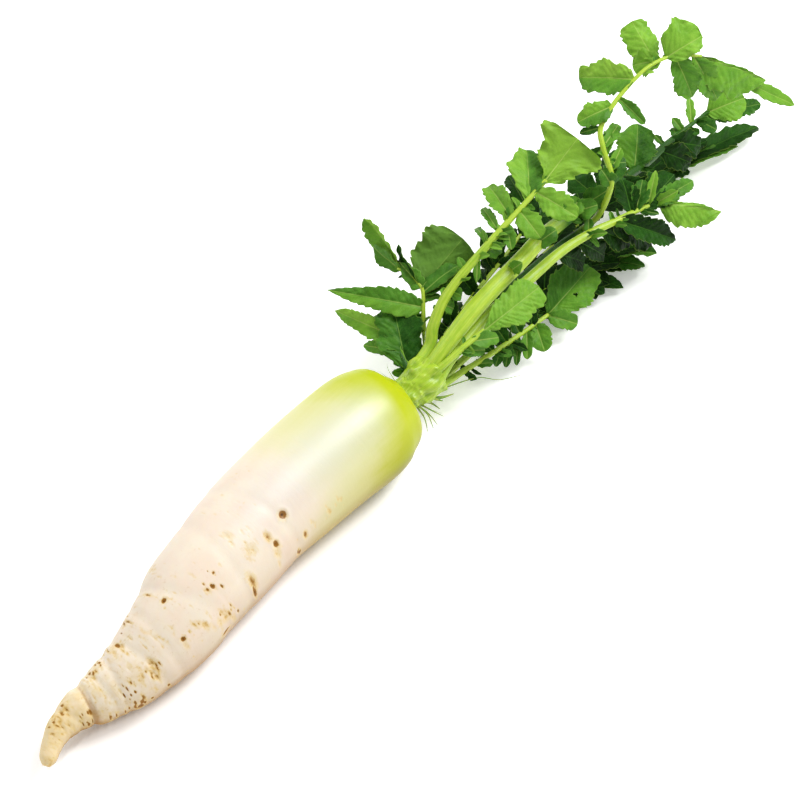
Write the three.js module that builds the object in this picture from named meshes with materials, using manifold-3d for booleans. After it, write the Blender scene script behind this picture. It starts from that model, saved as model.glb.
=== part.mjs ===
// Daikon radish lying on its side with its leaves on.
// Millimetres, +Z up, +X from the tail of the root to the leaves.
// The origin is in the middle of the narrow flat that the root rests on.

import * as THREE from "three";
import { mergeVertices } from "three/addons/utils/BufferGeometryUtils.js";
import Module from "manifold-3d";

// ---- Driving dimensions ----

const BELLY_DIP = 0.8; // the round belly is flattened by this much where it rests
const CLEARANCE = 0.3; // gap between two pieces that touch
const BLADE_THICKNESS = 0.8;
const LOWEST_LEAF = 0.25; // leaves end this high above the surface
const WELD = 1e-3; // vertices closer than this are one

// The root from the tail to the crown: centre x, centre y, height of its underside, radius.
const ROOT_STATIONS = [
  [-199, -4, 11, 2],
  [-196, -2.8, 10, 4.7],
  [-190, 0.5, 9.5, 5.8],
  [-180, 4, 9, 7.7],
  [-170, 4.5, 7.5, 9.8],
  [-161, 3.5, 5.5, 12.2],
  [-152, 1, 3, 14.6],
  [-142, -1.5, 1.5, 17],
  [-131, -4, 0.4, 19.7],
  [-118, -5.5, 0, 22],
  [-104, -6, 0, 24.8],
  [-88, -5, 0, 27.2],
  [-68, -1.6, 0, 29.6],
  [-42, 0.2, 0, 31.2],
  [-12, 2, 0, 32.5],
  [17, 0.5, 0, 33.7],
  [47, -1.5, 0, 34.9],
  [75, -5, 0, 35.2],
  [90, -7, 1.5, 33],
  [100, -9, 6, 28],
  [107, -10, 14, 20],
  [111, -11, 24, 10],
  [112.5, -11, 33, 1.5],
];
const ROOT_RINGS_PER_STATION = 2;
const ROOT_SIDES = 26;

// Ring creases: place along X, depth, half width, and how far the ring leans along X from side to side.
const RING_CREASES = [
  { x: -186, depth: 0.5, reach: 2, lean: 1 },
  { x: -172, depth: 0.6, reach: 2, lean: -2 },
  { x: -159, depth: 1.5, reach: 2.5, lean: 3 },
  { x: -149, depth: 0.6, reach: 2.5, lean: -2 },
  { x: -139, depth: 0.7, reach: 2.5, lean: 3 },
  { x: -124, depth: 0.6, reach: 3, lean: -3 },
  { x: -107, depth: 0.5, reach: 3, lean: 4 },
  { x: -86, depth: 0.9, reach: 4, lean: -5 },
  { x: -52, depth: 0.35, reach: 4, lean: 6 },
  { x: -18, depth: 0.3, reach: 4, lean: -5 },
];
const SHOULDER_BULGE = { x: -76, angle: 1.2, height: 0.9, length: 11, spread: 0.8 };
const ROOT_LUMP = 0.5; // height of the broad unevenness of the skin
const SMOOTH_BELOW = 12; // on a radius under this the relief fades toward the tip of the tail

// The crown: a short knobby stem from inside the shoulder to where the leaf stalks part.
const CROWN_AXIS = [
  [104, -10, 35],
  [116, -11, 36],
  [126, -13, 37.5],
  [136, -14, 38.5],
];
const CROWN_RADII = [9, 9.8, 11.8, 12.6];
const CROWN_RINGS = 9;
const CROWN_SIDES = 20;
const CROWN_KNOB = 0.42; // height of the knobs that fallen leaves left

// A stalk reaches its full thickness at this share of its length.
// Its top is grooved by a share of its radius.
const STALK_SWELL = 0.15;
const STALK_GROOVE = 0.14;
const THICK_STALK = 3.5; // a stalk with a larger radius gets eight sides, the others six

// A blade's edge: how far teeth stand out and notches go in, as shares of its half width.
const TOOTH = 1.1;
const NOTCH = 0.88;
const NARROWEST = 0.7; // half width of a blade at its two ends
const EDGE_WAVE = 0.05; // height of the waves of the edge, as a share of the width
const EDGE_LEAN = 0.2; // how far the edge leans toward the tip, as a share of the half width

// Directions that a blade's upper face looks in.
const SKY = [0, 0, 1];
const TAILWARD = [-0.5, -0.4, 0.77];
const SIDEWAYS = [-0.6, 0.6, 0.3];
const BACKWARD = [-0.9, 0.1, 0.45];

// Blade outlines: the exponents of t^base (1 - t)^end, which sets where the blade is widest.
const SIDE_BLADE = { base: 0.8, end: 0.6 };
const END_BLADE = { base: 0.6, end: 0.55 };
const LONG_BLADE = { base: 0.7, end: 0.8 };
const FAN_BLADE = { base: 0.75, end: 0.38 };

// Each leaf: its stalk's route, the stalk's radius at the crown, at its thickest and at its end,
// and its leaflets. A leaflet leaves the stalk at a fraction of its length and ends at its tip.
const LEAVES = [
  {
    name: "leaf_upright",
    stalk: [[131, -6, 42], [146, -5, 48], [155, -1, 57], [173, 1, 70], [208, -4, 88], [259, -9, 104]],
    radii: [3.4, 3.7, 1.4],
    leaflets: [
      { at: 0.98, tip: [299, -10, 118], width: 38, face: TAILWARD, fold: -0.15, bow: -3, shape: FAN_BLADE },
      { at: 0.93, tip: [252, -38, 95], width: 18, face: TAILWARD, fold: 0.15, bow: 3, shape: END_BLADE },
      { at: 0.82, tip: [228, -25, 89], width: 15, face: TAILWARD, fold: 0.2, bow: 2, shape: END_BLADE },
      { at: 0.74, tip: [214, -16, 84], width: 8, face: TAILWARD, fold: 0.3, bow: 1 },
      { at: 0.89, tip: [279, 18, 99], width: 17, face: TAILWARD, fold: 0.3, bow: 3 },
      { at: 0.87, tip: [256, 5, 102], width: 5, face: TAILWARD, fold: 0.3, bow: 1 },
      { at: 0.77, tip: [244, 24, 90], width: 13, face: TAILWARD, fold: 0.4, bow: 3 },
      { at: 0.69, tip: [232, 19, 84], width: 7, face: TAILWARD, fold: 0.5, bow: 2 },
      { at: 0.55, tip: [188, -9, 72], width: 5, face: TAILWARD, fold: 0.2, bow: 1 },
    ],
  },
  {
    name: "leaf_central",
    stalk: [
      [131, -14, 43], [144, -15, 51], [177, -16, 63], [220, -19, 71], [247, -20, 74],
      [301, -22, 66], [350, -25, 57], [385, -25, 53], [424, -29, 52],
    ],
    radii: [4, 5.6, 1],
    taper: 1.5,
    leaflets: [
      { at: 1, tip: [456, -40, 47], width: 17, face: TAILWARD, fold: 0.3, bow: 3 },
      { at: 0.97, tip: [428, -41, 45], width: 12, face: TAILWARD, fold: 0.2, bow: 2 },
      { at: 0.94, tip: [418, -17, 61], width: 7, face: TAILWARD, fold: 0.3, bow: 1 },
      { at: 0.91, tip: [398, -14, 57], width: 6, face: TAILWARD, fold: 0.3, bow: 1 },
      { at: 0.82, tip: [393, -44, 35], width: 22, face: TAILWARD, fold: 0.3, bow: 3 },
      { at: 0.72, tip: [370, -7, 69], width: 29, face: TAILWARD, fold: -0.2, bow: 4, shape: END_BLADE },
      { at: 0.66, tip: [334, -38, 43], width: 17, face: TAILWARD, fold: 0.3, bow: 3 },
      { at: 0.7, tip: [336, 2, 44], width: 18, face: TAILWARD, fold: 0.3, bow: 3 },
      { at: 0.58, tip: [310, 2, 62], width: 18, face: TAILWARD, fold: 0.3, bow: 3 },
      { at: 0.5, tip: [276, 6, 60], width: 15, face: TAILWARD, fold: 0.4, bow: 2 },
    ],
  },
  {
    name: "leaf_arched",
    stalk: [
      [131, -16.5, 35.8], [158, -11, 38], [189, -11, 43], [215, -15, 47], [258, -20, 51], [279, -26, 55],
      [289, -32, 66], [296, -34, 90], [301, -23, 107], [309, -15, 115], [326, -14, 124], [347, -17, 133],
      [361, -21, 136], [373, -28, 136.5], [386, -38, 132],
    ],
    radii: [2.8, 2.8, 1],
    taper: 1.2,
    leaflets: [
      { at: 1, tip: [426, -67, 97], width: 32, face: SKY, fold: -0.6, bow: 4, shape: LONG_BLADE },
      { at: 0.99, tip: [445, -81, 73], width: 13, face: TAILWARD, fold: -0.3, bow: -6 },
      { at: 0.98, tip: [391, -52, 98], width: 17, face: TAILWARD, fold: 0.3, bow: 3, shape: END_BLADE },
      { at: 0.94, tip: [376, -43, 107], width: 17, face: TAILWARD, fold: 0.2, bow: 2, shape: END_BLADE },
      { at: 0.92, tip: [396, -26, 145], width: 28, face: TAILWARD, fold: 0.15, bow: 2, shape: FAN_BLADE },
      { at: 0.905, tip: [371, 10, 143], width: 23, face: TAILWARD, fold: 0.2, bow: 2, shape: END_BLADE },
      { at: 0.84, tip: [329, 16, 125], width: 20, face: TAILWARD, fold: 0.25, bow: 2 },
      { at: 0.77, tip: [302, -2, 117], width: 15, face: TAILWARD, fold: 0.25, bow: 2 },
      { at: 0.72, tip: [301, -5, 110], width: 5, face: SKY, fold: 0.3, bow: 1 },
      { at: 0.79, tip: [330, -35, 113], width: 9, face: TAILWARD, fold: 0.5, bow: 2 },
      { at: 0.66, tip: [316, -17, 109], width: 6, face: BACKWARD, fold: 0.5, bow: 1 },
      { at: 0.63, tip: [311, -30, 103], width: 7, face: BACKWARD, fold: 0.5, bow: 1 },
    ],
  },
  {
    name: "leaf_right",
    stalk: [
      [131, -22, 40.5], [150, -20, 47], [179, -20, 52], [205, -24, 56], [247, -29, 61], [273, -36, 63],
      [292, -42, 62], [313, -47, 59], [329, -52, 56],
    ],
    radii: [2.6, 4, 1.3],
    taper: 1.8,
    leaflets: [
      { at: 1, tip: [356, -86, 47], width: 30, face: SKY, fold: -0.5, bow: 2 },
      { at: 0.95, tip: [335, -44, 74], width: 7, face: TAILWARD, fold: 0.4, bow: 1 },
      { at: 0.98, tip: [337, -59, 67], width: 8, face: TAILWARD, fold: 0.3, bow: 1 },
      { at: 0.94, tip: [351, -50, 61], width: 27, face: TAILWARD, fold: 0.2, bow: 2, shape: END_BLADE },
      { at: 0.96, tip: [357, -58, 55], width: 12, face: TAILWARD, fold: 0.2, bow: 2 },
      { at: 0.82, tip: [334, -65, 29], width: 19, face: TAILWARD, fold: 0.3, bow: 3 },
      { at: 0.88, tip: [313, -31, 66], width: 14, face: TAILWARD, fold: 0.3, bow: 2 },
    ],
  },
  {
    name: "leaf_short",
    stalk: [[131, -19.5, 46.5], [148, -24, 53], [162, -27, 56], [177, -30, 58]],
    radii: [1.8, 2, 1.5],
    leaflets: [
      { at: 1, tip: [219, -41, 61], width: 28, face: TAILWARD, fold: 0.15, bow: 2, shape: END_BLADE },
      { at: 0.72, tip: [178, -39, 50], width: 10, face: TAILWARD, fold: 0.3, bow: 2 },
      { at: 0.5, tip: [167, -36, 47], width: 8, face: TAILWARD, fold: 0.3, bow: 1 },
    ],
  },
  {
    name: "leaf_low_right",
    stalk: [[131, -22, 33.8], [154, -24, 30], [185, -28, 25], [216, -31, 20], [235, -33, 18]],
    radii: [1.8, 2, 1.3],
    leaflets: [
      { at: 1, tip: [284, -32, 21], width: 32, face: TAILWARD, fold: 0.3, bow: 3, shape: END_BLADE },
      { at: 0.99, tip: [249, -51, 11], width: 12, face: SKY, fold: 0.2, bow: 2 },
      { at: 0.88, tip: [216, -52, 11], width: 16, face: TAILWARD, fold: 0.2, bow: 2 },
      { at: 0.72, tip: [196, -43, 12], width: 8, face: TAILWARD, fold: 0.3, bow: 2 },
      { at: 0.58, tip: [184, -38, 14], width: 7, face: TAILWARD, fold: 0.3, bow: 2 },
      { at: 0.74, tip: [217, -18, 20], width: 10, face: TAILWARD, fold: 0.3, bow: 2 },
      { at: 0.58, tip: [199, -16, 22], width: 9, face: TAILWARD, fold: 0.3, bow: 2 },
    ],
  },
  {
    name: "leaf_left_near",
    stalk: [[126, -8, 36], [129, -1, 39], [133, 7, 43], [139, 19, 48]],
    radii: [1.9, 2, 1.3],
    leaflets: [
      { at: 1, tip: [135, 60, 45], width: 19, face: TAILWARD, fold: 0.2, bow: 2 },
      { at: 0.45, tip: [156, 20, 50], width: 20, face: TAILWARD, fold: 0.2, bow: 2 },
      { at: 0.72, tip: [129, 36, 40], width: 11, face: TAILWARD, fold: 0.3, bow: 2 },
      { at: 0.42, tip: [150, 6, 39], width: 9, face: TAILWARD, fold: 0.3, bow: 1 },
    ],
  },
  {
    name: "leaf_left_far",
    stalk: [
      [131, -9.5, 35], [150, 1, 36], [156, 7, 46], [162, 12, 54], [170, 19, 63], [171, 28, 67], [170, 38, 70],
    ],
    radii: [1.7, 1.8, 1],
    leaflets: [
      { at: 1, tip: [180, 73, 83], width: 18, face: SIDEWAYS, fold: 0.5, bow: 2 },
      { at: 0.78, tip: [178, 45, 80], width: 8, face: SIDEWAYS, fold: 0.4, bow: 2 },
      { at: 0.74, tip: [202, 28, 83], width: 35, face: TAILWARD, fold: -0.25, bow: -3, shape: FAN_BLADE },
      { at: 0.72, tip: [191, 10, 70], width: 11, face: SKY, fold: 0.3, bow: 2 },
      { at: 0.66, tip: [180, 9, 58], width: 6, face: SKY, fold: 0.3, bow: 1 },
      { at: 0.6, tip: [134, 65, 66], width: 18, face: TAILWARD, fold: 0.15, bow: 3 },
    ],
  },
  {
    name: "leaf_under",
    stalk: [[131, -6.5, 29.5], [164, 2, 26], [212, 12, 22], [250, 16, 22], [277, 19, 24]],
    radii: [1.7, 2, 1.1],
    leaflets: [
      { at: 1, tip: [308, 20, 28], width: 22, face: TAILWARD, fold: 0.2, bow: 3, shape: END_BLADE },
      { at: 0.82, tip: [256, 33, 34], width: 17, face: TAILWARD, fold: 0.3, bow: 2 },
      { at: 0.8, tip: [264, 4, 20], width: 14, face: TAILWARD, fold: 0.3, bow: 2 },
      { at: 0.6, tip: [219, 31, 34], width: 16, face: TAILWARD, fold: 0.3, bow: 2 },
      { at: 0.57, tip: [226, 0, 22], width: 13, face: TAILWARD, fold: 0.3, bow: 2 },
      { at: 0.38, tip: [196, 20, 36], width: 13, face: TAILWARD, fold: 0.3, bow: 2 },
      { at: 0.35, tip: [190, -3, 30], width: 10, face: TAILWARD, fold: 0.3, bow: 2 },
    ],
  },
  {
    name: "leaf_floor_far",
    stalk: [[131, -12.5, 29.5], [168, -4, 20], [231, 2, 12], [301, 3, 9], [361, -4, 8], [397, -14, 8]],
    radii: [2.2, 2.7, 1.4],
    leaflets: [
      { at: 1, tip: [477, -43, 8], width: 24, face: TAILWARD, fold: 0.35, bow: 3, shape: LONG_BLADE },
      { at: 0.95, tip: [424, -36, 4], width: 15, face: SKY, fold: 0.2, bow: 3 },
      { at: 0.93, tip: [430, 2, 14], width: 20, face: TAILWARD, fold: 0.2, bow: 3 },
      { at: 0.82, tip: [374, 15, 12], width: 17, face: TAILWARD, fold: 0.2, bow: 3 },
      { at: 0.66, tip: [322, 20, 13], width: 16, face: TAILWARD, fold: 0.2, bow: 3 },
    ],
  },
  {
    name: "leaf_floor_right",
    stalk: [[131, -18.5, 29], [162, -12, 18], [215, -12, 10], [272, -17, 8], [310, -29, 7]],
    radii: [2.1, 2.5, 1.3],
    leaflets: [
      { at: 1, tip: [352, -58, 7], width: 17, face: TAILWARD, fold: 0.35, bow: 3, shape: LONG_BLADE },
      { at: 0.93, tip: [316, -57, 5], width: 13, face: TAILWARD, fold: 0.4, bow: 3 },
      { at: 0.8, tip: [292, -58, 4], width: 13, face: SKY, fold: 0.3, bow: 3 },
      { at: 0.74, tip: [283, 2, 12], width: 16, face: TAILWARD, fold: 0.2, bow: 2 },
    ],
  },
];

// ---- Solids ----

const wasm = await Module();
wasm.setup();

// A seeded draw in 0..1, so that every run grows the same plant.
function seededDraw(seed) {
  let state = seed;
  return () => {
    state = (state * 1664525 + 1013904223) % 4294967296;
    return state / 4294967296;
  };
}

// A closed indexed skin as a solid that can be joined and cut.
function toSolid(points, triangles) {
  const skin = new THREE.BufferGeometry();
  skin.setAttribute("position", new THREE.Float32BufferAttribute(points.flatMap((p) => p.toArray()), 3));
  skin.setIndex(triangles);
  const merged = mergeVertices(skin, WELD);
  return new wasm.Manifold(
    new wasm.Mesh({
      numProp: 3,
      vertProperties: merged.attributes.position.array,
      triVerts: new Uint32Array(merged.index.array),
    }),
  );
}

// A closed three.js geometry as a solid.
function geometrySolid(geometry) {
  geometry.deleteAttribute("normal");
  geometry.deleteAttribute("uv");
  const merged = mergeVertices(geometry, WELD);
  return new wasm.Manifold(
    new wasm.Mesh({
      numProp: 3,
      vertProperties: merged.attributes.position.array,
      triVerts: new Uint32Array(merged.index.array),
    }),
  );
}

// A skin swept along a curve, closed by a fan at each end.
// radiusAt(u, angle, centre) is the distance to the skin: angle 0 is on top and a quarter turn is toward +Y.
function sweep({ pointAt, tangentAt, radiusAt, rings, sides }) {
  const up = new THREE.Vector3(0, 0, 1);
  const points = [];
  for (let ring = 0; ring <= rings; ring++) {
    const u = ring / rings;
    const centre = pointAt(u);
    const tangent = tangentAt(u);
    const top = up.clone().addScaledVector(tangent, -up.dot(tangent)).normalize();
    const side = new THREE.Vector3().crossVectors(top, tangent);
    for (let k = 0; k < sides; k++) {
      const angle = (2 * Math.PI * k) / sides;
      const radius = radiusAt(u, angle, centre);
      points.push(
        centre
          .clone()
          .addScaledVector(top, radius * Math.cos(angle))
          .addScaledVector(side, radius * Math.sin(angle)),
      );
    }
  }
  const triangles = [];
  for (let ring = 0; ring < rings; ring++) {
    for (let k = 0; k < sides; k++) {
      const next = (k + 1) % sides;
      const a = ring * sides + k;
      const b = ring * sides + next;
      const c = a + sides;
      const d = b + sides;
      triangles.push(a, c, b, b, c, d);
    }
  }
  const first = points.push(pointAt(0)) - 1;
  const last = points.push(pointAt(1)) - 1;
  for (let k = 0; k < sides; k++) {
    const next = (k + 1) % sides;
    triangles.push(first, k, next);
    triangles.push(last, rings * sides + next, rings * sides + k);
  }
  return toSolid(points, triangles);
}

function curveThrough(places) {
  return new THREE.CatmullRomCurve3(places.map((p) => new THREE.Vector3(...p)), false, "catmullrom", 0.5);
}

// ---- Root ----

const rootSpine = curveThrough(
  ROOT_STATIONS.map(([x, y, underside, radius]) => [x, y, underside + radius - BELLY_DIP]),
);
const rootRadii = curveThrough(ROOT_STATIONS.map(([, , , radius]) => [radius, 0, 0]));

// Height of the skin above the smooth root: broad lumps, one bulge and the ring creases.
function rootRelief(x, angle, radius) {
  const slenderness = Math.min(1, radius / SMOOTH_BELOW);
  let height = Math.sin(x / 17 + 2 * Math.sin(angle)) + Math.sin(x / 9.5 - 2 * angle + 1.3) * 0.6;
  height *= ROOT_LUMP * 0.5;
  const along = (x - SHOULDER_BULGE.x) / SHOULDER_BULGE.length;
  const around = (angle - SHOULDER_BULGE.angle) / SHOULDER_BULGE.spread;
  height += SHOULDER_BULGE.height * Math.exp(-along * along - around * around);
  for (const crease of RING_CREASES) {
    const off = (x - crease.x - crease.lean * Math.sin(angle)) / crease.reach;
    height -= crease.depth * Math.exp(-off * off);
  }
  return height * slenderness;
}

function rootSolid(growth) {
  return sweep({
    pointAt: (t) => rootSpine.getPoint(t).setX(rootSpine.getPoint(t).x + growth),
    tangentAt: (t) => rootSpine.getTangent(t),
    radiusAt: (t, angle, centre) => {
      const radius = Math.max(rootRadii.getPoint(t).x, 0.5);
      return radius + rootRelief(centre.x, angle, radius) + growth;
    },
    rings: (ROOT_STATIONS.length - 1) * ROOT_RINGS_PER_STATION,
    sides: ROOT_SIDES,
  });
}

// Everything below the surface that the root rests on.
function underground() {
  const depth = 20;
  const block = new THREE.BoxGeometry(800, 400, depth);
  block.translate(0, 0, -depth / 2);
  return geometrySolid(block);
}

// ---- Leaves ----

function stalkRadius({ radii, taper = 0.9 }, u) {
  const [atCrown, thickest, atEnd] = radii;
  if (u < STALK_SWELL) return THREE.MathUtils.lerp(atCrown, thickest, u / STALK_SWELL);
  return THREE.MathUtils.lerp(thickest, atEnd, Math.pow((u - STALK_SWELL) / (1 - STALK_SWELL), taper));
}

// The stalk, round below and shallowly grooved on top, grown outward by `growth`.
function stalkSolid(leaf, growth) {
  const route = curveThrough(leaf.stalk);
  return sweep({
    pointAt: (u) => route.getPointAt(u),
    tangentAt: (u) => route.getTangentAt(u),
    radiusAt: (u, angle) => {
      const onTop = Math.max(0, Math.cos(angle));
      return stalkRadius(leaf, u) * (1 - STALK_GROOVE * onTop * onTop) + growth;
    },
    rings: Math.round(6 + route.getLength() / 22),
    sides: leaf.radii[1] > THICK_STALK ? 8 : 6,
  });
}

// A leaflet: a thin toothed blade, bowed along its midrib, folded along it and waved at its edges.
function leafletSolid(base, { tip, width, face, fold, bow, shape = SIDE_BLADE }, draw) {
  const end = new THREE.Vector3(...tip);
  const axis = end.clone().sub(base);
  const length = axis.length();
  const teeth = length > 40 ? 5 : length > 25 ? 4 : length > 13 ? 3 : 2;
  const rows = 2 * teeth + 1;
  const facing = new THREE.Vector3(...face);
  facing.addScaledVector(axis, -facing.dot(axis) / (length * length)).normalize();
  const middle = base.clone().lerp(end, 0.5).addScaledVector(facing, 2 * bow);
  const midrib = new THREE.QuadraticBezierCurve3(base, middle, end);
  const widest = shape.base / (shape.base + shape.end);
  const peak = Math.pow(widest, shape.base) * Math.pow(1 - widest, shape.end);
  const phase = 2 * Math.PI * draw();
  const wave = EDGE_WAVE * width;
  const layers = [[], []];
  for (let row = 0; row <= rows; row++) {
    const t = row / rows;
    const along = midrib.getTangent(t);
    const normal = facing.clone().addScaledVector(along, -facing.dot(along)).normalize();
    const across = new THREE.Vector3().crossVectors(along, normal);
    const toothed = row % 2 ? TOOTH : NOTCH;
    const plain = (width / 2) * (Math.pow(t, shape.base) * Math.pow(1 - t, shape.end)) / peak;
    const half = Math.max(NARROWEST, plain * toothed);
    for (const hand of [-1, 0, 1]) {
      const spot = midrib.getPoint(t);
      const leaning = normal.clone();
      if (hand) {
        const ripple = wave * Math.sin(phase + row * 1.1 + hand * 1.7) * Math.min(1, plain / 4);
        spot.addScaledVector(across, hand * half * Math.cos(fold));
        spot.addScaledVector(normal, half * Math.sin(fold) + ripple);
        spot.addScaledVector(along, EDGE_LEAN * plain * (1 - t));
        leaning.multiplyScalar(Math.cos(fold)).addScaledVector(across, -hand * Math.sin(fold));
      }
      for (const [layer, side] of [[0, 1], [1, -1]]) {
        const placed = spot.clone().addScaledVector(leaning, (side * BLADE_THICKNESS) / 2);
        placed.z = Math.max(placed.z, LOWEST_LEAF + (side > 0 ? BLADE_THICKNESS : 0));
        layers[layer].push(placed);
      }
    }
  }
  return bladeFromLayers(layers, rows);
}

// Joins an upper and a lower layer of (rows + 1) x 3 points, split into triangles alike, into a solid.
function bladeFromLayers([upper, lower], rows) {
  const points = [...upper, ...lower];
  const under = upper.length;
  const triangles = [];
  for (let row = 0; row < rows; row++) {
    for (let column = 0; column < 2; column++) {
      const a = row * 3 + column;
      const b = a + 1;
      const c = a + 3;
      const d = a + 4;
      triangles.push(a, b, d, a, d, c);
      triangles.push(under + a, under + d, under + b, under + a, under + c, under + d);
    }
  }
  const rim = [0, 1, 2];
  for (let row = 1; row <= rows; row++) rim.push(row * 3 + 2);
  rim.push(rows * 3 + 1);
  for (let row = rows; row > 0; row--) rim.push(row * 3);
  rim.forEach((a, k) => {
    const b = rim[(k + 1) % rim.length];
    triangles.push(a, under + a, under + b, a, under + b, b);
  });
  return toSolid(points, triangles);
}

function leafSolid(leaf, seed) {
  const draw = seededDraw(seed);
  const route = curveThrough(leaf.stalk);
  let solid = stalkSolid(leaf, 0);
  for (const leaflet of leaf.leaflets) {
    const base = route.getPointAt(Math.min(leaflet.at, 0.995));
    solid = solid.add(leafletSolid(base, leaflet, draw));
  }
  return solid;
}

// ---- Crown ----

const crownAxis = curveThrough(CROWN_AXIS);
const crownRadii = curveThrough(CROWN_RADII.map((radius) => [radius, 0, 0]));

function crownSolid() {
  return sweep({
    pointAt: (t) => crownAxis.getPoint(t),
    tangentAt: (t) => crownAxis.getTangent(t),
    radiusAt: (t, angle, centre) => {
      const knobs = Math.sin(5 * angle + centre.x * 0.5) + Math.sin(3 * angle - centre.x * 0.35);
      return crownRadii.getPoint(t).x + CROWN_KNOB * knobs;
    },
    rings: CROWN_RINGS,
    sides: CROWN_SIDES,
  });
}

// ---- Assembly ----

const rootSkin = new THREE.MeshStandardMaterial({ color: 0xf3eecb, roughness: 0.32, metalness: 0 });
const crownSkin = new THREE.MeshStandardMaterial({ color: 0xb4d23c, roughness: 0.45, metalness: 0 });
const leafSkin = new THREE.MeshStandardMaterial({ color: 0x5fa032, roughness: 0.55, metalness: 0 });

function meshOf(name, solid, material) {
  const { vertProperties, triVerts, numProp } = solid.getMesh();
  const points = [];
  for (let i = 0; i < vertProperties.length; i += numProp) {
    points.push(vertProperties[i], vertProperties[i + 1], vertProperties[i + 2]);
  }
  const geometry = new THREE.BufferGeometry();
  geometry.setAttribute("position", new THREE.Float32BufferAttribute(points, 3));
  geometry.setIndex(Array.from(triVerts));
  geometry.computeVertexNormals();
  const mesh = new THREE.Mesh(geometry, material);
  mesh.name = name;
  return mesh;
}

const radish = new THREE.Group();

radish.add(meshOf("taproot", rootSolid(0).subtract(underground()), rootSkin));

let crown = crownSolid().subtract(rootSolid(CLEARANCE));
for (const leaf of LEAVES) {
  crown = crown.subtract(stalkSolid(leaf, CLEARANCE));
}
radish.add(meshOf("crown", crown, crownSkin));

LEAVES.forEach((leaf, index) => {
  radish.add(meshOf(leaf.name, leafSolid(leaf, 11 + 7 * index), leafSkin.clone()));
});

export default radish;
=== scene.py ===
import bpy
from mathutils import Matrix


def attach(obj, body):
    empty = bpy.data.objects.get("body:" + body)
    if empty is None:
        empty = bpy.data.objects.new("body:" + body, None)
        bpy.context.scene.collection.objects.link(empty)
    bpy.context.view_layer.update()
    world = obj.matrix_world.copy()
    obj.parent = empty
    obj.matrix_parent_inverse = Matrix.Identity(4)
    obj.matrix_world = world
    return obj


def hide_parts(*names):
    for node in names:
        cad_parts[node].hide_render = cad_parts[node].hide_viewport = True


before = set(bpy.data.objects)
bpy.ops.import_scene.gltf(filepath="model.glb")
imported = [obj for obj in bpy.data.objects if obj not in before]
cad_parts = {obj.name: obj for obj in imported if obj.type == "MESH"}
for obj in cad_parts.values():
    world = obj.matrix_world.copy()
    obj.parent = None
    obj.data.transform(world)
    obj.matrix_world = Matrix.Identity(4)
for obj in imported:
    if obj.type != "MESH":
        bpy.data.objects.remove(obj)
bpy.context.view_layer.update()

import math

import bpy
import numpy as np
from mathutils import Vector

# ---- Taproot ----
# The fleshy root, grown as one piece and lying on its side. It is crisp watery flesh under a thin
# waxy skin, green where the shoulder stood in the light and white where the soil covered it.

STUDIO_LIGHT = 1.28  # what falls on the part, where 1 would just turn a white sheet full white
MM = 0.001  # lengths below are in millimetres, and this takes them to the frame's metres
BELLY_DIP = 0.8  # the round belly is flattened by this much where it rests
LEAST_RADIUS = 0.5  # at the two ends of the root

# From the tail to the crown: centre x, centre y, height of the underside, radius.
ROOT_STATIONS = [
    (-199, -4, 11, 2),
    (-196, -2.8, 10, 4.7),
    (-190, 0.5, 9.5, 5.8),
    (-180, 4, 9, 7.7),
    (-170, 4.5, 7.5, 9.8),
    (-161, 3.5, 5.5, 12.2),
    (-152, 1, 3, 14.6),
    (-142, -1.5, 1.5, 17),
    (-131, -4, 0.4, 19.7),
    (-118, -5.5, 0, 22),
    (-104, -6, 0, 24.8),
    (-88, -5, 0, 27.2),
    (-68, -1.6, 0, 29.6),
    (-42, 0.2, 0, 31.2),
    (-12, 2, 0, 32.5),
    (17, 0.5, 0, 33.7),
    (47, -1.5, 0, 34.9),
    (75, -5, 0, 35.2),
    (90, -7, 1.5, 33),
    (100, -9, 6, 28),
    (107, -10, 14, 20),
    (111, -11, 24, 10),
    (112.5, -11, 33, 1.5),
]
ROOT_X, ROOT_Y, ROOT_LOW, ROOT_RADIUS = np.array(ROOT_STATIONS, float).T
ROOT_RINGS = 400
ROOT_SIDES = 236
ROOT_SEED = 20
CURVE_STEPS = 4000  # steps in which the curve's length is measured

# Ring creases: place along X, depth, half width, lean along X from side to side.
RING_CREASES = [
    (-186, 0.5, 2, 1),
    (-172, 0.6, 2, -2),
    (-159.3, 1.5, 2.5, 1.2),
    (-149, 0.6, 2.5, -2),
    (-139, 0.7, 2.5, 3),
    (-124, 0.6, 3, -3),
    (-107, 0.5, 3, 4),
    (-86, 0.4, 4, -5),
    (-52, 0.35, 4, 6),
    (-18, 0.3, 4, -5),
]
FINE_CREASES = 46  # short shallow wrinkles, drawn by rule, close together at the tail
CREASES_FROM = -194  # where the wrinkles start at the tail, and over what length they are spread
CREASES_SPAN = 170
BROWN_BEFORE = -100  # ring creases nearer to the tail than this are brown
SIDE_BULGE = {"x": -76, "angle": 1.2, "height": 0.9, "length": 11, "spread": 0.8}
ROOT_LUMP = 0.25  # height of the broad unevenness, and the lengths of its two waves
LUMP_LENGTHS = (17, 9.5)
SMOOTH_BELOW = 12  # on a radius under this the relief fades toward the tip of the tail
SHALLOW_BELOW = 7  # and on one under this the scars do

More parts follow.
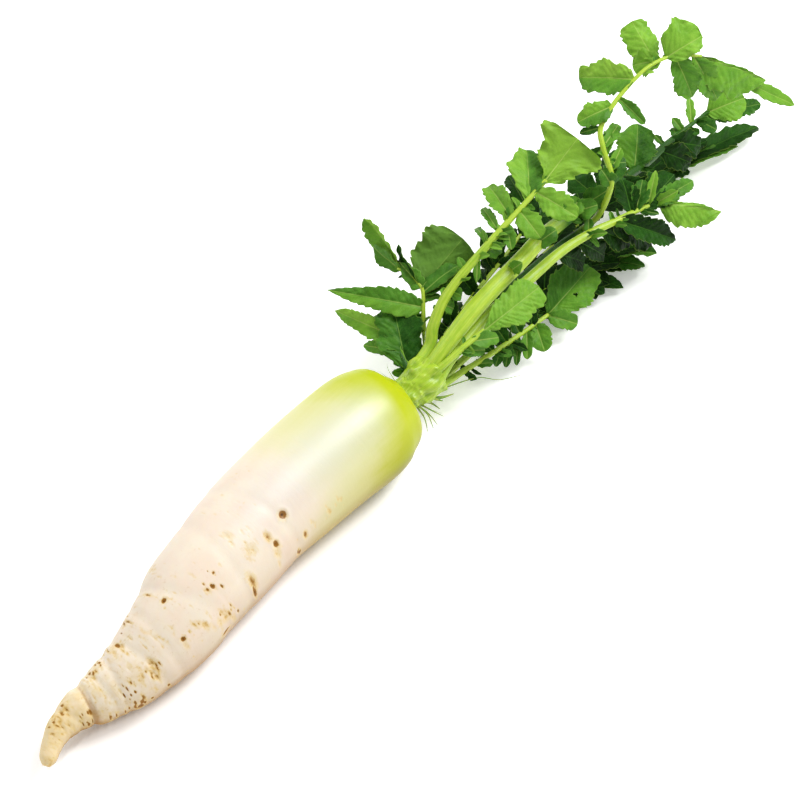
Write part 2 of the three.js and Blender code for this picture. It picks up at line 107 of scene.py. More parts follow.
# Healed root scars: place along X, angle round the root (0 on top, -Y side negative), half length
# round the root, half length along it, depth, darkness from 0 (ochre stain) to 1 (dark pit).
ROOT_SCARS = [
    (-11.4, -0.73, 2.5, 2.9, 1.4, 1),
    (-29, -0.79, 3.2, 2, 0.5, 0.62),
    (-27.7, -1.01, 2.4, 1.9, 1.2, 0.9),
    (-29.8, -1.17, 4.4, 2.2, 0.3, 0.36),
    (-31.9, -1.40, 3, 1, 0.2, 0.3),
    (-4.2, -1.38, 2.8, 1.8, 0.4, 0.72),
    (-13, -1.66, 3.4, 1.3, 0.5, 0.6),
    (-41.9, -0.70, 3.6, 3.4, 0.2, 0.3),
    (-40.8, -0.74, 1.9, 1.5, 0.3, 0.5),
    (-44.3, -0.21, 3.4, 1.3, 0.2, 0.3),
    (-52.2, -1.18, 5.6, 2.2, 0.6, 0.66),
    (-53.6, -1.45, 5, 1.1, 0.6, 0.95),
    (-66.5, -0.45, 0.9, 0.9, 0.5, 0.9),
    (-73.2, -0.58, 1.7, 1.2, 0.9, 1),
    (-69.3, -0.73, 1.5, 0.8, 0.6, 0.95),
    (-76.4, -0.56, 2.4, 1.4, 0.2, 0.3),
    (-77.5, -0.50, 1, 0.8, 0.3, 0.5),
    (-92.6, 0.10, 1.4, 1.7, 0.9, 1),
    (-95.8, -0.02, 0.7, 0.7, 0.3, 0.5),
    (-92.9, 0.57, 3.6, 0.8, 0.4, 0.7),
    (-110.7, 0.70, 4, 0.9, 0.4, 0.7),
    (-90.5, -0.93, 3.4, 1.3, 0.4, 0.45),
    (-80.5, -1.24, 3.4, 2.6, 0.3, 0.3),
    (-79.9, -1.26, 1.2, 1, 0.4, 0.6),
    (-70.8, -1.44, 1.6, 0.9, 0.5, 0.9),
    (-76.1, -1.50, 3.4, 1.8, 0.2, 0.35),
    (-83.6, -1.59, 1.2, 2.9, 0.5, 0.85),
    (-101.9, -0.78, 1.5, 1.3, 0.9, 1),
    (-102.9, -0.94, 2.6, 1.2, 0.2, 0.3),
    (-121, -0.65, 3.2, 2, 0.5, 0.6),
    (-124.7, -0.88, 2.4, 1.4, 0.5, 0.6),
    (-123.4, -1.02, 5, 0.8, 0.6, 0.5),
    (-120.4, -1.65, 1.9, 0.8, 0.4, 0.9),
    (-136.3, -1.80, 3.6, 1.5, 0.6, 0.75),
    (-125.9, 0.48, 3.2, 0.8, 0.4, 0.6),
    (-125.9, 0.30, 2.2, 0.9, 0.3, 0.5),
    (-110.1, -0.18, 8.4, 0.6, 0.2, 0.2),
    (-130.1, -0.28, 2.4, 0.7, 0.2, 0.3),
    (-148.7, 0.28, 3, 1.2, 0.3, 0.5),
    (-170.8, 0.13, 2.2, 1.6, 0.4, 0.55),
    (-177.8, -0.13, 1.7, 1.5, 0.3, 0.55),
    (-176.7, 0.66, 1.4, 1.3, 0.3, 0.5),
    (-168.8, -1.41, 2.6, 0.6, 0.5, 0.8),
    (-162.3, -1.60, 3, 0.6, 0.6, 0.85),
    (-152.3, -1.60, 3.6, 0.6, 0.6, 0.85),
    (-149.1, -1.66, 3.2, 0.5, 0.6, 0.85),
    (-144.4, -1.72, 2.8, 0.5, 0.5, 0.8),
    (16.5, -1.33, 2.4, 1.1, 0.3, 0.5),
    (26.4, -1.28, 1.7, 1, 0.2, 0.36),
    (3.3, -1.24, 1.8, 1, 0.2, 0.32),
]
SMALL_SCARS = 150  # faint scars drawn by rule from the tail to where the green starts
FAR_SCARS = 26  # larger ones drawn by rule on the far side and the underside
TAIL_END = -199  # no stain lies further out than this

# Groups of small stains: place along X, angle, spread in mm, how many, size of one, darkness.
STAIN_GROUPS = [
    (-41.9, -0.66, 3.4, 15, 1.1, 0.32),
    (-32.7, -0.44, 3.2, 8, 0.8, 0.16),
    (-44.3, -0.20, 2.8, 7, 0.9, 0.2),
    (-76.1, -0.52, 3, 9, 0.8, 0.5),
    (-65.8, -0.41, 2.2, 5, 0.6, 0.5),
    (-79.1, -1.20, 4.4, 22, 1.3, 0.42),
    (-90.8, -0.84, 3.6, 11, 1, 0.36),
    (-90.3, -0.04, 3, 5, 0.7, 0.3),
    (-101.3, -0.86, 2.6, 7, 0.9, 0.45),
    (-109.2, -0.50, 3.6, 7, 0.9, 0.3),
    (-113.9, 0.14, 5, 12, 0.8, 0.28),
    (-122.1, -0.71, 3.4, 17, 1.3, 0.45),
    (-123.9, -0.95, 3, 11, 1.2, 0.4),
    (-128.4, -0.20, 6, 14, 0.8, 0.3),
    (-111.5, 0.79, 3.6, 14, 1, 0.55),
    (-127.7, 0.55, 3.8, 19, 1.2, 0.55),
    (-141.2, 0.69, 3.8, 18, 1.1, 0.5),
    (-150.6, 0.45, 4, 17, 1.2, 0.45),
    (-139.9, -0.94, 4.4, 20, 0.8, 0.6),
    (-134.6, -1.56, 3.4, 15, 1.2, 0.7),
    (-150.8, -0.76, 4, 14, 0.8, 0.3),
    (-170.9, 0.16, 3.4, 15, 1.1, 0.5),
    (-179.5, 0.18, 3.2, 13, 1.1, 0.45),
    (-166.3, -1.17, 3.6, 15, 1, 0.55),
    (-176, -0.80, 3, 11, 0.9, 0.35),
    (-186.3, -0.50, 2.6, 8, 0.9, 0.35),
    (-197, -0.52, 1.8, 9, 1.1, 0.34),
    (-61.5, 1.13, 3.4, 8, 0.9, 0.2),
    (-76.7, 0.88, 4.4, 14, 0.9, 0.25),
    (-11, 0.44, 3.4, 5, 0.7, 0.12),
    (-29.8, 0.08, 3, 5, 0.7, 0.14),
    (26.8, -1.28, 2.4, 5, 0.8, 0.25),
    (15.7, -1.32, 2.6, 6, 0.9, 0.3),
    (5.7, -1.29, 2.6, 5, 0.8, 0.22),
    (-13.4, -1.66, 3.2, 10, 1.1, 0.5),
    (-60, 2.60, 9, 24, 1.2, 0.45),
    (-110, -2.60, 9, 26, 1.2, 0.5),
    (-20, -2.70, 9, 16, 1.2, 0.4),
]

# The green deepens from nothing at x = 0 over this length, and reaches further toward the tail by
# these amounts at these angles round the root.
GREEN_LENGTH = 100
GREEN_REACH = [(-3.2, 10), (-2.2, 16), (-1.7, 14), (-1.5, 11), (-1.3, 7), (-1.1, 0), (-0.9, -4)]
GREEN_REACH += [(-0.6, -2), (0, 1), (0.6, 7), (1.2, 7), (2.2, 7), (3.2, 10)]
# How strongly painted shade darkens the low sides, by the angle round the root: most low on the -Y side
# and under the root where it meets the surface, less low on the +Y side.
LOW_SIDE_SHADE = [(-3.2, 0.8), (-2.2, 1), (-1.9, 1), (-1.72, 0.74), (-1.52, 0.36), (-1.3, 0.24)]
LOW_SIDE_SHADE += [(-0.95, 0.05), (1.4, 0), (2.2, 0.6), (3.2, 0.8)]
# The upper side of the shoulder is the most polished, and a whitish painted highlight is mixed into
# its colour there: gloss and highlight grow and fade between these places along X, and lie round this
# angle.
PAINTED_HIGHLIGHT_AND_GLOSS = {"from": -62, "to": 30, "ends": (70, 92), "angle": -0.36, "spread": 0.5}


def spline(places, t):
    """Points and slopes at t, from 0 to 1, on a uniform Catmull-Rom curve through the places."""
    places = np.asarray(places, float)
    last = len(places) - 1
    along = np.clip(np.asarray(t, float) * last, 0, last)
    span = np.minimum(along.astype(int), last - 1)
    w = (along - span)[:, None]
    ends = np.vstack([2 * places[0] - places[1], places, 2 * places[-1] - places[-2]])
    before, start, end, after = (ends[span + k] for k in range(4))
    out = 0.5 * (end - before)
    into = 0.5 * (after - start)
    square = -3 * start + 3 * end - 2 * out - into
    cube = 2 * start - 2 * end + out + into
    return start + out * w + square * w**2 + cube * w**3, out + 2 * square * w + 3 * cube * w**2


def unit(vectors):
    """The vectors at length 1."""
    return vectors / np.maximum(np.linalg.norm(vectors, axis=-1, keepdims=True), 1e-9)


def round_angles(rings, sides):
    """The angle round a tube of each of its points, by ring and side."""
    return np.broadcast_to(np.arange(sides) * 2 * np.pi / sides, (rings, sides))


def tube(centres, slopes, radii, angles, first=0):
    """A closed tube round a centre line: its points, and its faces, which count the points from first.

    Angle 0 is on top and a quarter turn is toward +Y. A fan of triangles closes each end round its
    middle, and the two middles are the last two points.
    """
    tangent = unit(slopes)
    top = unit(np.array([0, 0, 1.0]) - tangent * tangent[:, 2:3])
    side = np.cross(top, tangent)
    out = top[:, None] * np.cos(angles)[..., None] + side[:, None] * np.sin(angles)[..., None]
    points = (centres[:, None] + out * radii[..., None]).reshape(-1, 3)
    rings, sides = angles.shape
    k = np.arange(sides)
    after = (k + 1) % sides
    starts = first + np.arange(rings - 1)[:, None] * sides
    quads = np.stack([starts + k, starts + k + sides, starts + after + sides, starts + after], -1)
    faces = quads.reshape(-1, 4).tolist()
    tail = first + rings * sides
    last = first + (rings - 1) * sides
    for a, b in zip(k.tolist(), after.tolist()):
        faces.append([tail, first + a, first + b])
    for a, b in zip(k.tolist(), after.tolist()):
        faces.append([tail + 1, last + b, last + a])
    return np.vstack([points, centres[0], centres[-1]]), faces


def with_ends(values):
    """A tube's values by ring and side in one row, with zeros for the middles of its two ends."""
    values = values.reshape(-1, *values.shape[2:])
    return np.concatenate([values, np.zeros((2, *values.shape[1:]))])


def piece(name, points, faces, finish, replaces, fields=None):
    """A smooth mesh of points in millimetres, dressed and tied to the frame."""
    mesh = bpy.data.meshes.new(name)
    mesh.from_pydata((points * MM).tolist(), [], faces)
    for field, values in (fields or {}).items():
        kind, slots = ("FLOAT", "value") if values.ndim == 1 else ("FLOAT_VECTOR", "vector")
        values = values.astype(np.float32).ravel()
        mesh.attributes.new(field, kind, "POINT").data.foreach_set(slots, values)
    mesh.shade_smooth()
    mesh.materials.append(finish)
    made = bpy.data.objects.new(name, mesh)
    bpy.context.scene.collection.objects.link(made)
    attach(made, "root")
    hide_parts(replaces)


def turned(angle):
    """An angle brought to between half a turn each way."""
    return (angle + math.pi) % (2 * math.pi) - math.pi


def root_rings():
    """Places on the root's curve, evenly spaced over its skin from the tail tip to the crown."""
    t = np.linspace(0, 1, CURVE_STEPS)
    x, radius = (spline(line[:, None], t)[0][:, 0] for line in (ROOT_X, ROOT_RADIUS))
    run = np.concatenate([[0], np.cumsum(np.hypot(np.diff(x), np.diff(radius)))])
    return np.interp(np.linspace(0, run[-1], ROOT_RINGS), run, t)


def root_relief(x, angle, radius):
    """Height of the skin above the smooth root: broad lumps, one bulge and the ring creases."""
    long, short = LUMP_LENGTHS
    height = np.sin(x / long + 2 * np.sin(angle)) + 0.6 * np.sin(x / short - 2 * angle + 1.3)
    height = height * ROOT_LUMP
    along = (x - SIDE_BULGE["x"]) / SIDE_BULGE["length"]
    around = (angle - SIDE_BULGE["angle"]) / SIDE_BULGE["spread"]
    height = height + SIDE_BULGE["height"] * np.exp(-(along**2) - around**2)
    for place, depth, reach, lean in RING_CREASES:
        off = (x - place - lean * np.sin(angle)) / reach
        height = height - depth * np.exp(-(off**2))
    return height * np.minimum(1, radius / SMOOTH_BELOW)


def fine_wrinkles(draw, x, angle):
    """Depth and brown stain of the short wrinkles."""
    depth = np.zeros_like(x)
    brown = np.zeros_like(x)
    for _ in range(FINE_CREASES):
        share = draw.random() ** 1.7
        place = CREASES_FROM + CREASES_SPAN * share
        middle = draw.uniform(-math.pi, math.pi)
        spread = draw.uniform(0.16, 0.6)
        strong = draw.uniform(0.1, 0.34) * (1.15 - share)
        wander = 1.1 * np.sin(angle * draw.uniform(1, 3) + draw.uniform(0, 6))
        off = (x - place - wander) / draw.uniform(0.7, 1.5)
        mark = np.exp(-(off**2) - (turned(angle - middle) / spread) ** 2)
        depth += strong * mark
        brown = np.maximum(brown, mark * strong * 1.6)
    return depth, brown


def ring_stain_and_fold_shade(x, angle):
    """Brown in the ring creases, broken along a shallow one; beside a deep one, a band of painted shade."""
    brown = np.zeros_like(x)
    for place, depth, _, lean in RING_CREASES:
        deep = depth > 1
        off = (x - place - lean * np.sin(angle)) / (1.2 if deep else 0.8)
        mark = np.exp(-(off**2)) * min(1, depth * 0.6) * (x < BROWN_BEFORE)
        if deep:
            # A band of painted shade beside the deep fold on its crown side; the deep crease is painted
            # darker toward the -Y side.
            fold = np.exp(-((off / 4) ** 2)) * (off > 0) * (0.56 - 0.3 * np.sin(angle))
            mark = np.maximum(mark, fold) * (0.75 - 0.25 * np.sin(angle))
        else:
            mark = mark * (0.55 + 0.45 * np.sin(angle * 3 + place))
        brown = np.maximum(brown, mark)
    return brown


def all_scars(draw):
    """The scars placed one by one, then the stain groups, the small scars and those of the far side."""
    scars = list(ROOT_SCARS)
    for place, middle, spread, count, size, darkness in STAIN_GROUPS:
        for _ in range(count):
            away, turn = draw.normal(0, spread, 2)
            one = size * draw.uniform(0.55, 1.45)
            where = max(place + away * 0.8, TAIL_END)
            there = middle + turn / np.interp(where, ROOT_X, ROOT_RADIUS + 1)
            dark = min(1, darkness * draw.uniform(0.5, 1.8))
            around = one * draw.uniform(0.9, 2.2)
            scars.append((where, there, around, one * 0.54, 0.1 + 0.2 * dark, dark))
    for _ in range(SMALL_SCARS):
        place = 10 - 200 * draw.random() ** 0.8
        around = draw.uniform(0.5, 2.4)
        dark = draw.uniform(0.05, 0.4) * (1.0 if place < -60 else 0.6)
        there = draw.uniform(-math.pi, math.pi)
        scars.append((place, there, around, draw.uniform(0.35, 0.8), 0.12, dark))
    for _ in range(FAR_SCARS):
        place = draw.uniform(-170, 20)
        there = turned(draw.uniform(1.3, 4.0))
        size = draw.uniform(0.9, 2.6)
        scars.append((place, there, size, size * 0.6, 0.5, draw.uniform(0.4, 1)))
    return scars


def root_skin_detail(x, angle, radius):
    """Depth of wrinkles and scars, and three marks: crease brown with painted shade by the deep fold, scar
    ochre and scar dark.
    """
    draw = np.random.default_rng(ROOT_SEED)
    depth, brown = fine_wrinkles(draw, x, angle)
    brown = np.maximum(brown, ring_stain_and_fold_shade(x, angle))
    ochre = np.zeros_like(x)
    dark = np.zeros_like(x)
    for place, middle, around, along, deep, darkness in all_scars(draw):
        off_x = (x - place) / along
        off_a = turned(angle - middle) * radius / around
        near = np.sqrt(off_x**2 + off_a**2)
        depth += deep * np.exp(-(near**2) * 1.4) - 0.18 * deep * np.exp(-((near - 1.5) ** 2) * 4)
        halo = np.exp(-((near / 1.5) ** 2))
        ochre = np.maximum(ochre, halo * (0.36 + 0.6 * min(1, darkness * 1.3)))
        core = np.clip(1.35 - near, 0, 1.35) / 1.35
        dark = np.maximum(dark, core * max(0, darkness - 0.4) / 0.6)
    return depth, brown, ochre, dark


def seen(red, green, blue):
    """A colour as it looks under the studio light, 0 to 255, as the share of light a shader takes."""
    level = np.array([red, green, blue]) / 255
    linear = np.where(level <= 0.04045, level / 12.92, ((level + 0.055) / 1.055) ** 2.4)
    return (*(linear / STUDIO_LIGHT).tolist(), 1.0)


class Wire:
    """A value inside a finish. Arithmetic on it adds Math nodes."""

    def __init__(self, finish, socket):
        self.finish = finish
        self.socket = socket

    def __add__(self, other):
        return self.finish.reckon("ADD", self, other)

    def __mul__(self, other):
        return self.finish.reckon("MULTIPLY", self, other)

    def __sub__(self, other):
        return self.finish.reckon("SUBTRACT", self, other)

    def __rsub__(self, other):
        return self.finish.reckon("SUBTRACT", other, self)

    def __abs__(self):
        return self.finish.reckon("ABSOLUTE", self)

    __radd__ = __add__
    __rmul__ = __mul__


class Finish:
    """A procedural material, built node by node."""

    def __init__(self, name):
        self.material = bpy.data.materials.new(name)
        self.material.use_nodes = True
        self.tree = self.material.node_tree
        self.tree.nodes.clear()

    def add(self, kind, settings=None, inputs=None, output=0):
        node = self.tree.nodes.new(kind)
        for key, value in (settings or {}).items():
            if key == "stops":
                for stop, (place, colour) in enumerate(value):
                    if stop > 1:
                        node.color_ramp.elements.new(place)
                    node.color_ramp.elements[stop].position = place
                    node.color_ramp.elements[stop].color = colour
            else:
                setattr(node, key, value)
        for key, value in (inputs or {}).items():
            if isinstance(value, Wire):
                self.tree.links.new(value.socket, node.inputs[key])
            else:
                node.inputs[key].default_value = value
        return Wire(self, node.outputs[output])

    def reckon(self, operation, *values):
        return self.add("ShaderNodeMath", {"operation": operation}, dict(enumerate(values)))

    def mix(self, mask, under, over, mode="MIX"):
        settings = {"data_type": "RGBA", "blend_type": mode}
        return self.add("ShaderNodeMix", settings, {0: mask, 6: under, 7: over}, 2)

    def coats(self, colour, *layers):
        """The colour under layers of mask and colour, from the lowest to the top one."""
        for mask, over in layers:
            colour = self.mix(mask, colour, over)
        return colour

    def ramp(self, level, *stops):
        """A colour that follows the level through stops of level, red, green and blue."""
        stops = [(place, seen(*colour)) for place, *colour in stops]
        return self.add("ShaderNodeValToRGB", {"stops": stops}, {"Fac": level}, "Color")

    def bump(self, strength, distance, height):
        """Fine relief; the distance is in millimetres."""
        inputs = {"Strength": strength, "Distance": distance * MM, "Height": height}
        return self.add("ShaderNodeBump", inputs=inputs)

    def rise(self, value, low, high):
        """0 below low, 1 above high and smooth between them."""
        inputs = {"Value": value, "From Min": low, "From Max": high}
        return self.add("ShaderNodeMapRange", {"interpolation_type": "SMOOTHSTEP"}, inputs)

    def field(self, name, output="Fac"):
        return self.add("ShaderNodeAttribute", {"attribute_name": name}, output=output)

    def parts(self, vector):
        """The three numbers of a vector."""
        split = self.add("ShaderNodeSeparateXYZ", inputs={"Vector": vector})
        return [Wire(self, socket) for socket in split.socket.node.outputs]

    def place(self, stretch=(1, 1, 1)):
        """The spot on the piece in the frame's metres, stretched."""
        spot = self.add("ShaderNodeTexCoord", output="Object")
        return self.add("ShaderNodeVectorMath", {"operation": "MULTIPLY"}, {0: spot, 1: stretch})

    def mottle(self, size, vector=None, detail=3.0, rough=0.55):
        """Cloudy noise whose clouds are about size millimetres across."""
        vector = vector or self.place()
        inputs = {"Vector": vector, "Scale": 1 / (size * MM), "Detail": detail, "Roughness": rough}
        return self.add("ShaderNodeTexNoise", inputs=inputs)

    def surface(self, inputs):
        return self.add("ShaderNodeBsdfPrincipled", inputs=inputs)

    def close(self, shader):
        output = self.tree.nodes.new("ShaderNodeOutputMaterial")
        self.tree.links.new(shader.socket, output.inputs["Surface"])
        return self.material


def root_skin():
    """Waxy skin: white with a green shoulder, ochre scars, and a wrinkled yellowed tail.

    It carries a painted highlight on the shoulder, and painted shade on the low sides and by the deep fold.
    """
    skin = Finish("root_skin")
    x = skin.parts(skin.place())[0]
    tailward = 0 - x
    cloud = skin.mottle(16)
    patch = skin.mottle(6, detail=4)
    grain = skin.mottle(1.7, detail=6, rough=0.65)
    fibres = skin.mottle(3.0, skin.place((0.06, 1, 1)))
    bands = skin.mottle(2.4, skin.place((1, 0.16, 0.16)), detail=5, rough=0.7)
    tail = skin.mix(skin.rise(patch, 0.42, 0.62), seen(258, 245, 222), seen(252, 234, 196))
    tail = skin.mix(skin.rise(bands, 0.52, 0.74) * 0.55, tail, seen(230, 196, 126))
    age = skin.rise(tailward + (cloud - 0.5) * 0.06, 0.08, 0.175)
    end = skin.rise(tailward + (patch - 0.5) * 0.03, 0.148, 0.172)
    end = end * (1 - skin.rise(cloud, 0.5, 0.75) * 0.5)
    soil = skin.rise(grain + (patch - 0.5) * 0.5, 0.6, 0.74) * skin.rise(tailward, 0.02, 0.15)
    white = skin.coats(
        seen(250, 237, 216),
        (skin.rise(cloud, 0.35, 0.65), seen(249, 231, 211)),
        (skin.rise(bands, 0.54, 0.75) * 0.3, seen(248, 230, 196)),
        (age * 0.85, tail),
        (end * 0.7, seen(242, 216, 156)),
        (soil * 0.5, seen(208, 166, 92)),
    )
    green = skin.field("green") + (cloud - 0.5) * 0.1 + (fibres - 0.5) * 0.1
    tint = skin.ramp(
        green,
        (0.0, 252, 237, 212),
        (0.35, 238, 234, 180),
        (0.6, 228, 227, 152),
        (0.72, 213, 217, 96),
        (0.83, 197, 206, 36),
        (0.95, 188, 201, 6),
    )
    colour = skin.mix(skin.rise(green, -0.05, 0.22), white, tint)
    # painted shade for the low sides: brown-yellow, multiplied in, yellower toward the crown
    low_side_shade_tint = skin.mix(skin.rise(x, -0.03, 0.02), (0.52, 0.37, 0.2, 1), (0.56, 0.42, 0.12, 1))
    colour = skin.mix(skin.field("painted_flank_shade"), colour, low_side_shade_tint, "MULTIPLY")
    ragged = skin.field("ochre") + (grain - 0.5) * 0.9 + (patch - 0.5) * 0.3
    brown = skin.field("crease_brown_and_shade") + (grain - 0.5) * 0.5
    core = skin.field("dark") + (grain - 0.5) * 0.35
    pit = skin.rise(core, 0.6, 0.82)
    colour = skin.coats(
        colour,
        (skin.rise(ragged, 0.18, 0.52) * 0.5, seen(240, 212, 146)),
        (skin.rise(ragged, 0.5, 0.78) * 0.7, seen(224, 182, 92)),
        (skin.rise(ragged, 0.78, 1.0) * 0.75, seen(196, 144, 56)),
        # whitish painted highlight on the upper side of the shoulder
        (skin.field("gloss_and_painted_highlight") * 0.4, seen(214, 221, 228)),
        # brown in the creases and wrinkles, with painted shade beside the deep fold
        (skin.rise(brown, 0.3, 0.8) * 0.6, seen(176, 124, 56)),
        (skin.rise(core, 0.16, 0.4), seen(160, 108, 34)),
        (pit * 0.85, seen(88, 52, 14)),
    )
    relief = grain * 0.25 + bands * 0.5 + skin.mottle(0.9, detail=2) * 0.12
    shader = {
        "Base Color": colour,
        "Roughness": 0.34 + skin.rise(tailward, 0.0, 0.15) * 0.25 + pit * 0.2 + grain * 0.06,
        "Normal": skin.bump(0.25, 0.6, relief),
        "IOR": 1.24,
        "Subsurface Weight": 0.25,
        "Subsurface Radius": (1.0, 0.7, 0.35),
        "Subsurface Scale": 3 * MM,
        "Coat Weight": skin.field("gloss_and_painted_highlight") * 0.7 + 0.04,
        "Coat Roughness": 0.46,
        "Coat IOR": 1.9,
    }
    return skin.close(skin.surface(shader))


ring_places = root_rings()
root_line = np.stack([ROOT_X, ROOT_Y, ROOT_LOW + ROOT_RADIUS - BELLY_DIP], -1)
centre_line, root_slopes = spline(root_line, ring_places)
root_radii = np.maximum(spline(ROOT_RADIUS[:, None], ring_places)[0], LEAST_RADIUS)
root_angles = round_angles(ROOT_RINGS, ROOT_SIDES)
ring_x = np.broadcast_to(centre_line[:, :1], root_angles.shape)
near_radius = np.broadcast_to(root_radii, root_angles.shape)
# The relief takes angles from 0 to a full turn. Scars and stains take them both ways from the top.
signed_angles = turned(root_angles)
relief = root_relief(ring_x, root_angles, near_radius)
carved, crease_brown_and_shade, ochre, dark = root_skin_detail(ring_x, signed_angles, near_radius)
carved = carved * np.clip(near_radius / SHALLOW_BELOW, 0, 1)
root_reach = near_radius + relief - carved
skin_points, root_faces = tube(centre_line, root_slopes, root_reach, root_angles)
skin_points[:, 2] = np.maximum(skin_points[:, 2], 0)
green = (ring_x + np.interp(signed_angles, *zip(*GREEN_REACH))) / GREEN_LENGTH
# painted shade on the low sides, by the angle round the root
painted_flank_shade = np.interp(signed_angles, *zip(*LOW_SIDE_SHADE))
# where the shoulder is glossy, and where its painted highlight lies
gloss_and_painted_highlight = np.clip((ring_x - PAINTED_HIGHLIGHT_AND_GLOSS["from"]) / (PAINTED_HIGHLIGHT_AND_GLOSS["to"] - PAINTED_HIGHLIGHT_AND_GLOSS["from"]), 0, 1)
gloss_and_painted_highlight = gloss_and_painted_highlight * np.interp(ring_x, PAINTED_HIGHLIGHT_AND_GLOSS["ends"], (1, 0))
gloss_and_painted_highlight = gloss_and_painted_highlight * np.exp(-(((signed_angles - PAINTED_HIGHLIGHT_AND_GLOSS["angle"]) / PAINTED_HIGHLIGHT_AND_GLOSS["spread"]) ** 2))
marks = {"crease_brown_and_shade": crease_brown_and_shade, "ochre": ochre, "dark": dark, "painted_flank_shade": painted_flank_shade, "gloss_and_painted_highlight": gloss_and_painted_highlight, "green": green}
root_fields = {name: with_ends(mark) for name, mark in marks.items()}
root_fields["green"][-2:] = (-1, 1)  # white at the tip of the tail, green at the crown
piece("taproot_skin", skin_points, root_faces, root_skin(), "taproot", root_fields)

# ---- Crown ----
# The short stem on top of the root, from which every leaf stalk grows. It is moist green stem
# tissue, knobbed where older leaves were pulled off, and it is grown together with the shoulder.

CROWN_AXIS = [(104, -10, 35), (116, -11, 36), (126, -13, 37.5), (136, -14, 38.5)]
CROWN_RADII = [9.1, 10.3, 12.5, 13.1]
CROWN_RINGS = 90
CROWN_SIDES = 150
CROWN_SEED = 3
CROWN_KNOB = 0.42
LEAF_SCARS = 4  # rows of old leaf bases, each row a broken ridge round the crown
LEAF_SCAR_HEIGHT = 0.5
CROWN_BUMPS = 130
BUTTRESS_HEIGHT = 0.55  # of the broad ribs that run into the stalks, where the leaves start
FINE_RIB_HEIGHT = 0.1


def stem_finish(name, base, pale, deep, rough, groove_shade_and_wear):
    """Moist ribbed stem: streaked along its length, with a painted highlight on its ribs and painted shade
    in its grooves.
    """
    stem = Finish(name)
    along, around, ridge = stem.parts(stem.field("stem", "Vector"))
    spot = stem.add("ShaderNodeCombineXYZ", inputs={"X": along * 0.05, "Y": around * 2.4})
    streaks = stem.add("ShaderNodeTexNoise", inputs={"Vector": spot, "Scale": 2.2, "Detail": 4})
    fine = stem.add("ShaderNodeTexNoise", inputs={"Vector": spot, "Scale": 7.0, "Detail": 2})
    cloud = stem.mottle(9)
    shade = stem.field("shade")
    scuffs = stem.rise(stem.mottle(1.3, detail=5), 0.62, 0.72) * stem.rise(cloud, 0.4, 0.6)
    colour = stem.coats(
        base,
        (stem.rise(streaks, 0.42, 0.7) * 0.7, pale),
        (stem.rise(cloud, 0.48, 0.7) * 0.4, deep),
        # painted highlight on the ribs and bumps, painted shade in the grooves and hollows
        (stem.rise(ridge, 0.3, 1.0) * 0.4, pale),
        (stem.rise(0 - ridge, 0.1, 0.8) * groove_shade_and_wear * 0.6, deep),
        # painted shade where other leaves shadow the stalk
        (shade, seen(44, 94, 14)),
        (scuffs * groove_shade_and_wear, seen(204, 168, 58)),
    )
    shader = {
        "Base Color": colour,
        "Roughness": rough + streaks * 0.14,
        "Normal": stem.bump(0.5, 0.5, streaks * 0.6 + fine * 0.25 + stem.mottle(0.8) * 0.15),
        "IOR": 1.3,
        "Subsurface Weight": 0.2,
        "Subsurface Radius": (0.7, 1.0, 0.25),
        "Subsurface Scale": 2 * MM,
        "Coat Weight": (1 - shade) * 0.22,
        "Coat Roughness": 0.2,
    }
    return stem.close(stem.surface(shader))


crown_finish = stem_finish(
    "crown_stem", seen(166, 201, 42), seen(200, 222, 84), seen(92, 142, 24), rough=0.28, groove_shade_and_wear=0.9
)
crown_places = np.linspace(0, 1, CROWN_RINGS)
crown_line, crown_slopes = spline(CROWN_AXIS, crown_places)
crown_radii = spline([(radius,) for radius in CROWN_RADII], crown_places)[0]
crown_angles = round_angles(CROWN_RINGS, CROWN_SIDES)
crown_x = crown_line[:, :1]
leafward = crown_places[:, None]
knobs = np.sin(5 * crown_angles + crown_x * 0.5) + np.sin(3 * crown_angles - crown_x * 0.35)
rows = leafward * LEAF_SCARS + 0.35 * np.sin(crown_angles) + 0.2 * np.sin(3 * crown_angles + 1)
broken = np.clip(np.sin(5 * crown_angles + 4 * leafward), 0, 1)
scar_ridge = np.exp(-((((rows % 1) - 0.5) / 0.2) ** 2)) * broken
crown_draw = np.random.default_rng(CROWN_SEED)
bumps = np.zeros_like(crown_angles)
for _ in range(CROWN_BUMPS):
    spot_x = crown_draw.uniform(104, 134)
    spot_angle = crown_draw.uniform(-math.pi, math.pi)
    reach = crown_draw.uniform(0.9, 2.4)
    rise = crown_draw.uniform(-0.7, 1.0)
    away = (crown_x - spot_x) ** 2 + (turned(crown_angles - spot_angle) * 10) ** 2
    bumps = bumps + rise * np.exp(-away / reach**2)
buttress = np.cos(9 * crown_angles + 0.6 * np.sin(2 * crown_angles) + crown_x * 0.08)
fine_ribs = np.cos(31 * crown_angles + 2 * np.sin(crown_angles * 3))
crown_skin = crown_radii + CROWN_KNOB * knobs + LEAF_SCAR_HEIGHT * scar_ridge + bumps
crown_skin = crown_skin + BUTTRESS_HEIGHT * buttress * leafward + FINE_RIB_HEIGHT * fine_ribs
crown_points, crown_faces = tube(crown_line, crown_slopes, crown_skin, crown_angles)
# raised places get a painted highlight and hollows painted shade from this in the stem finish
crown_ridge = np.clip(bumps + scar_ridge * 0.3 + buttress * 0.4 * leafward, -1, 1)
crown_along = np.broadcast_to(crown_x, crown_angles.shape)
crown_fields = {"stem": with_ends(np.stack([crown_along, crown_angles * 3, crown_ridge], -1))}
piece("crown_stem_knob", crown_points, crown_faces, crown_finish, "crown", crown_fields)

# ---- Crown fibres ----
# Torn threads and hairs of old leaf bases that stay on the crown. They are dry green strands, rooted
# in the crown's skin. The long ones mostly hang down, and the short ones stand out all round.

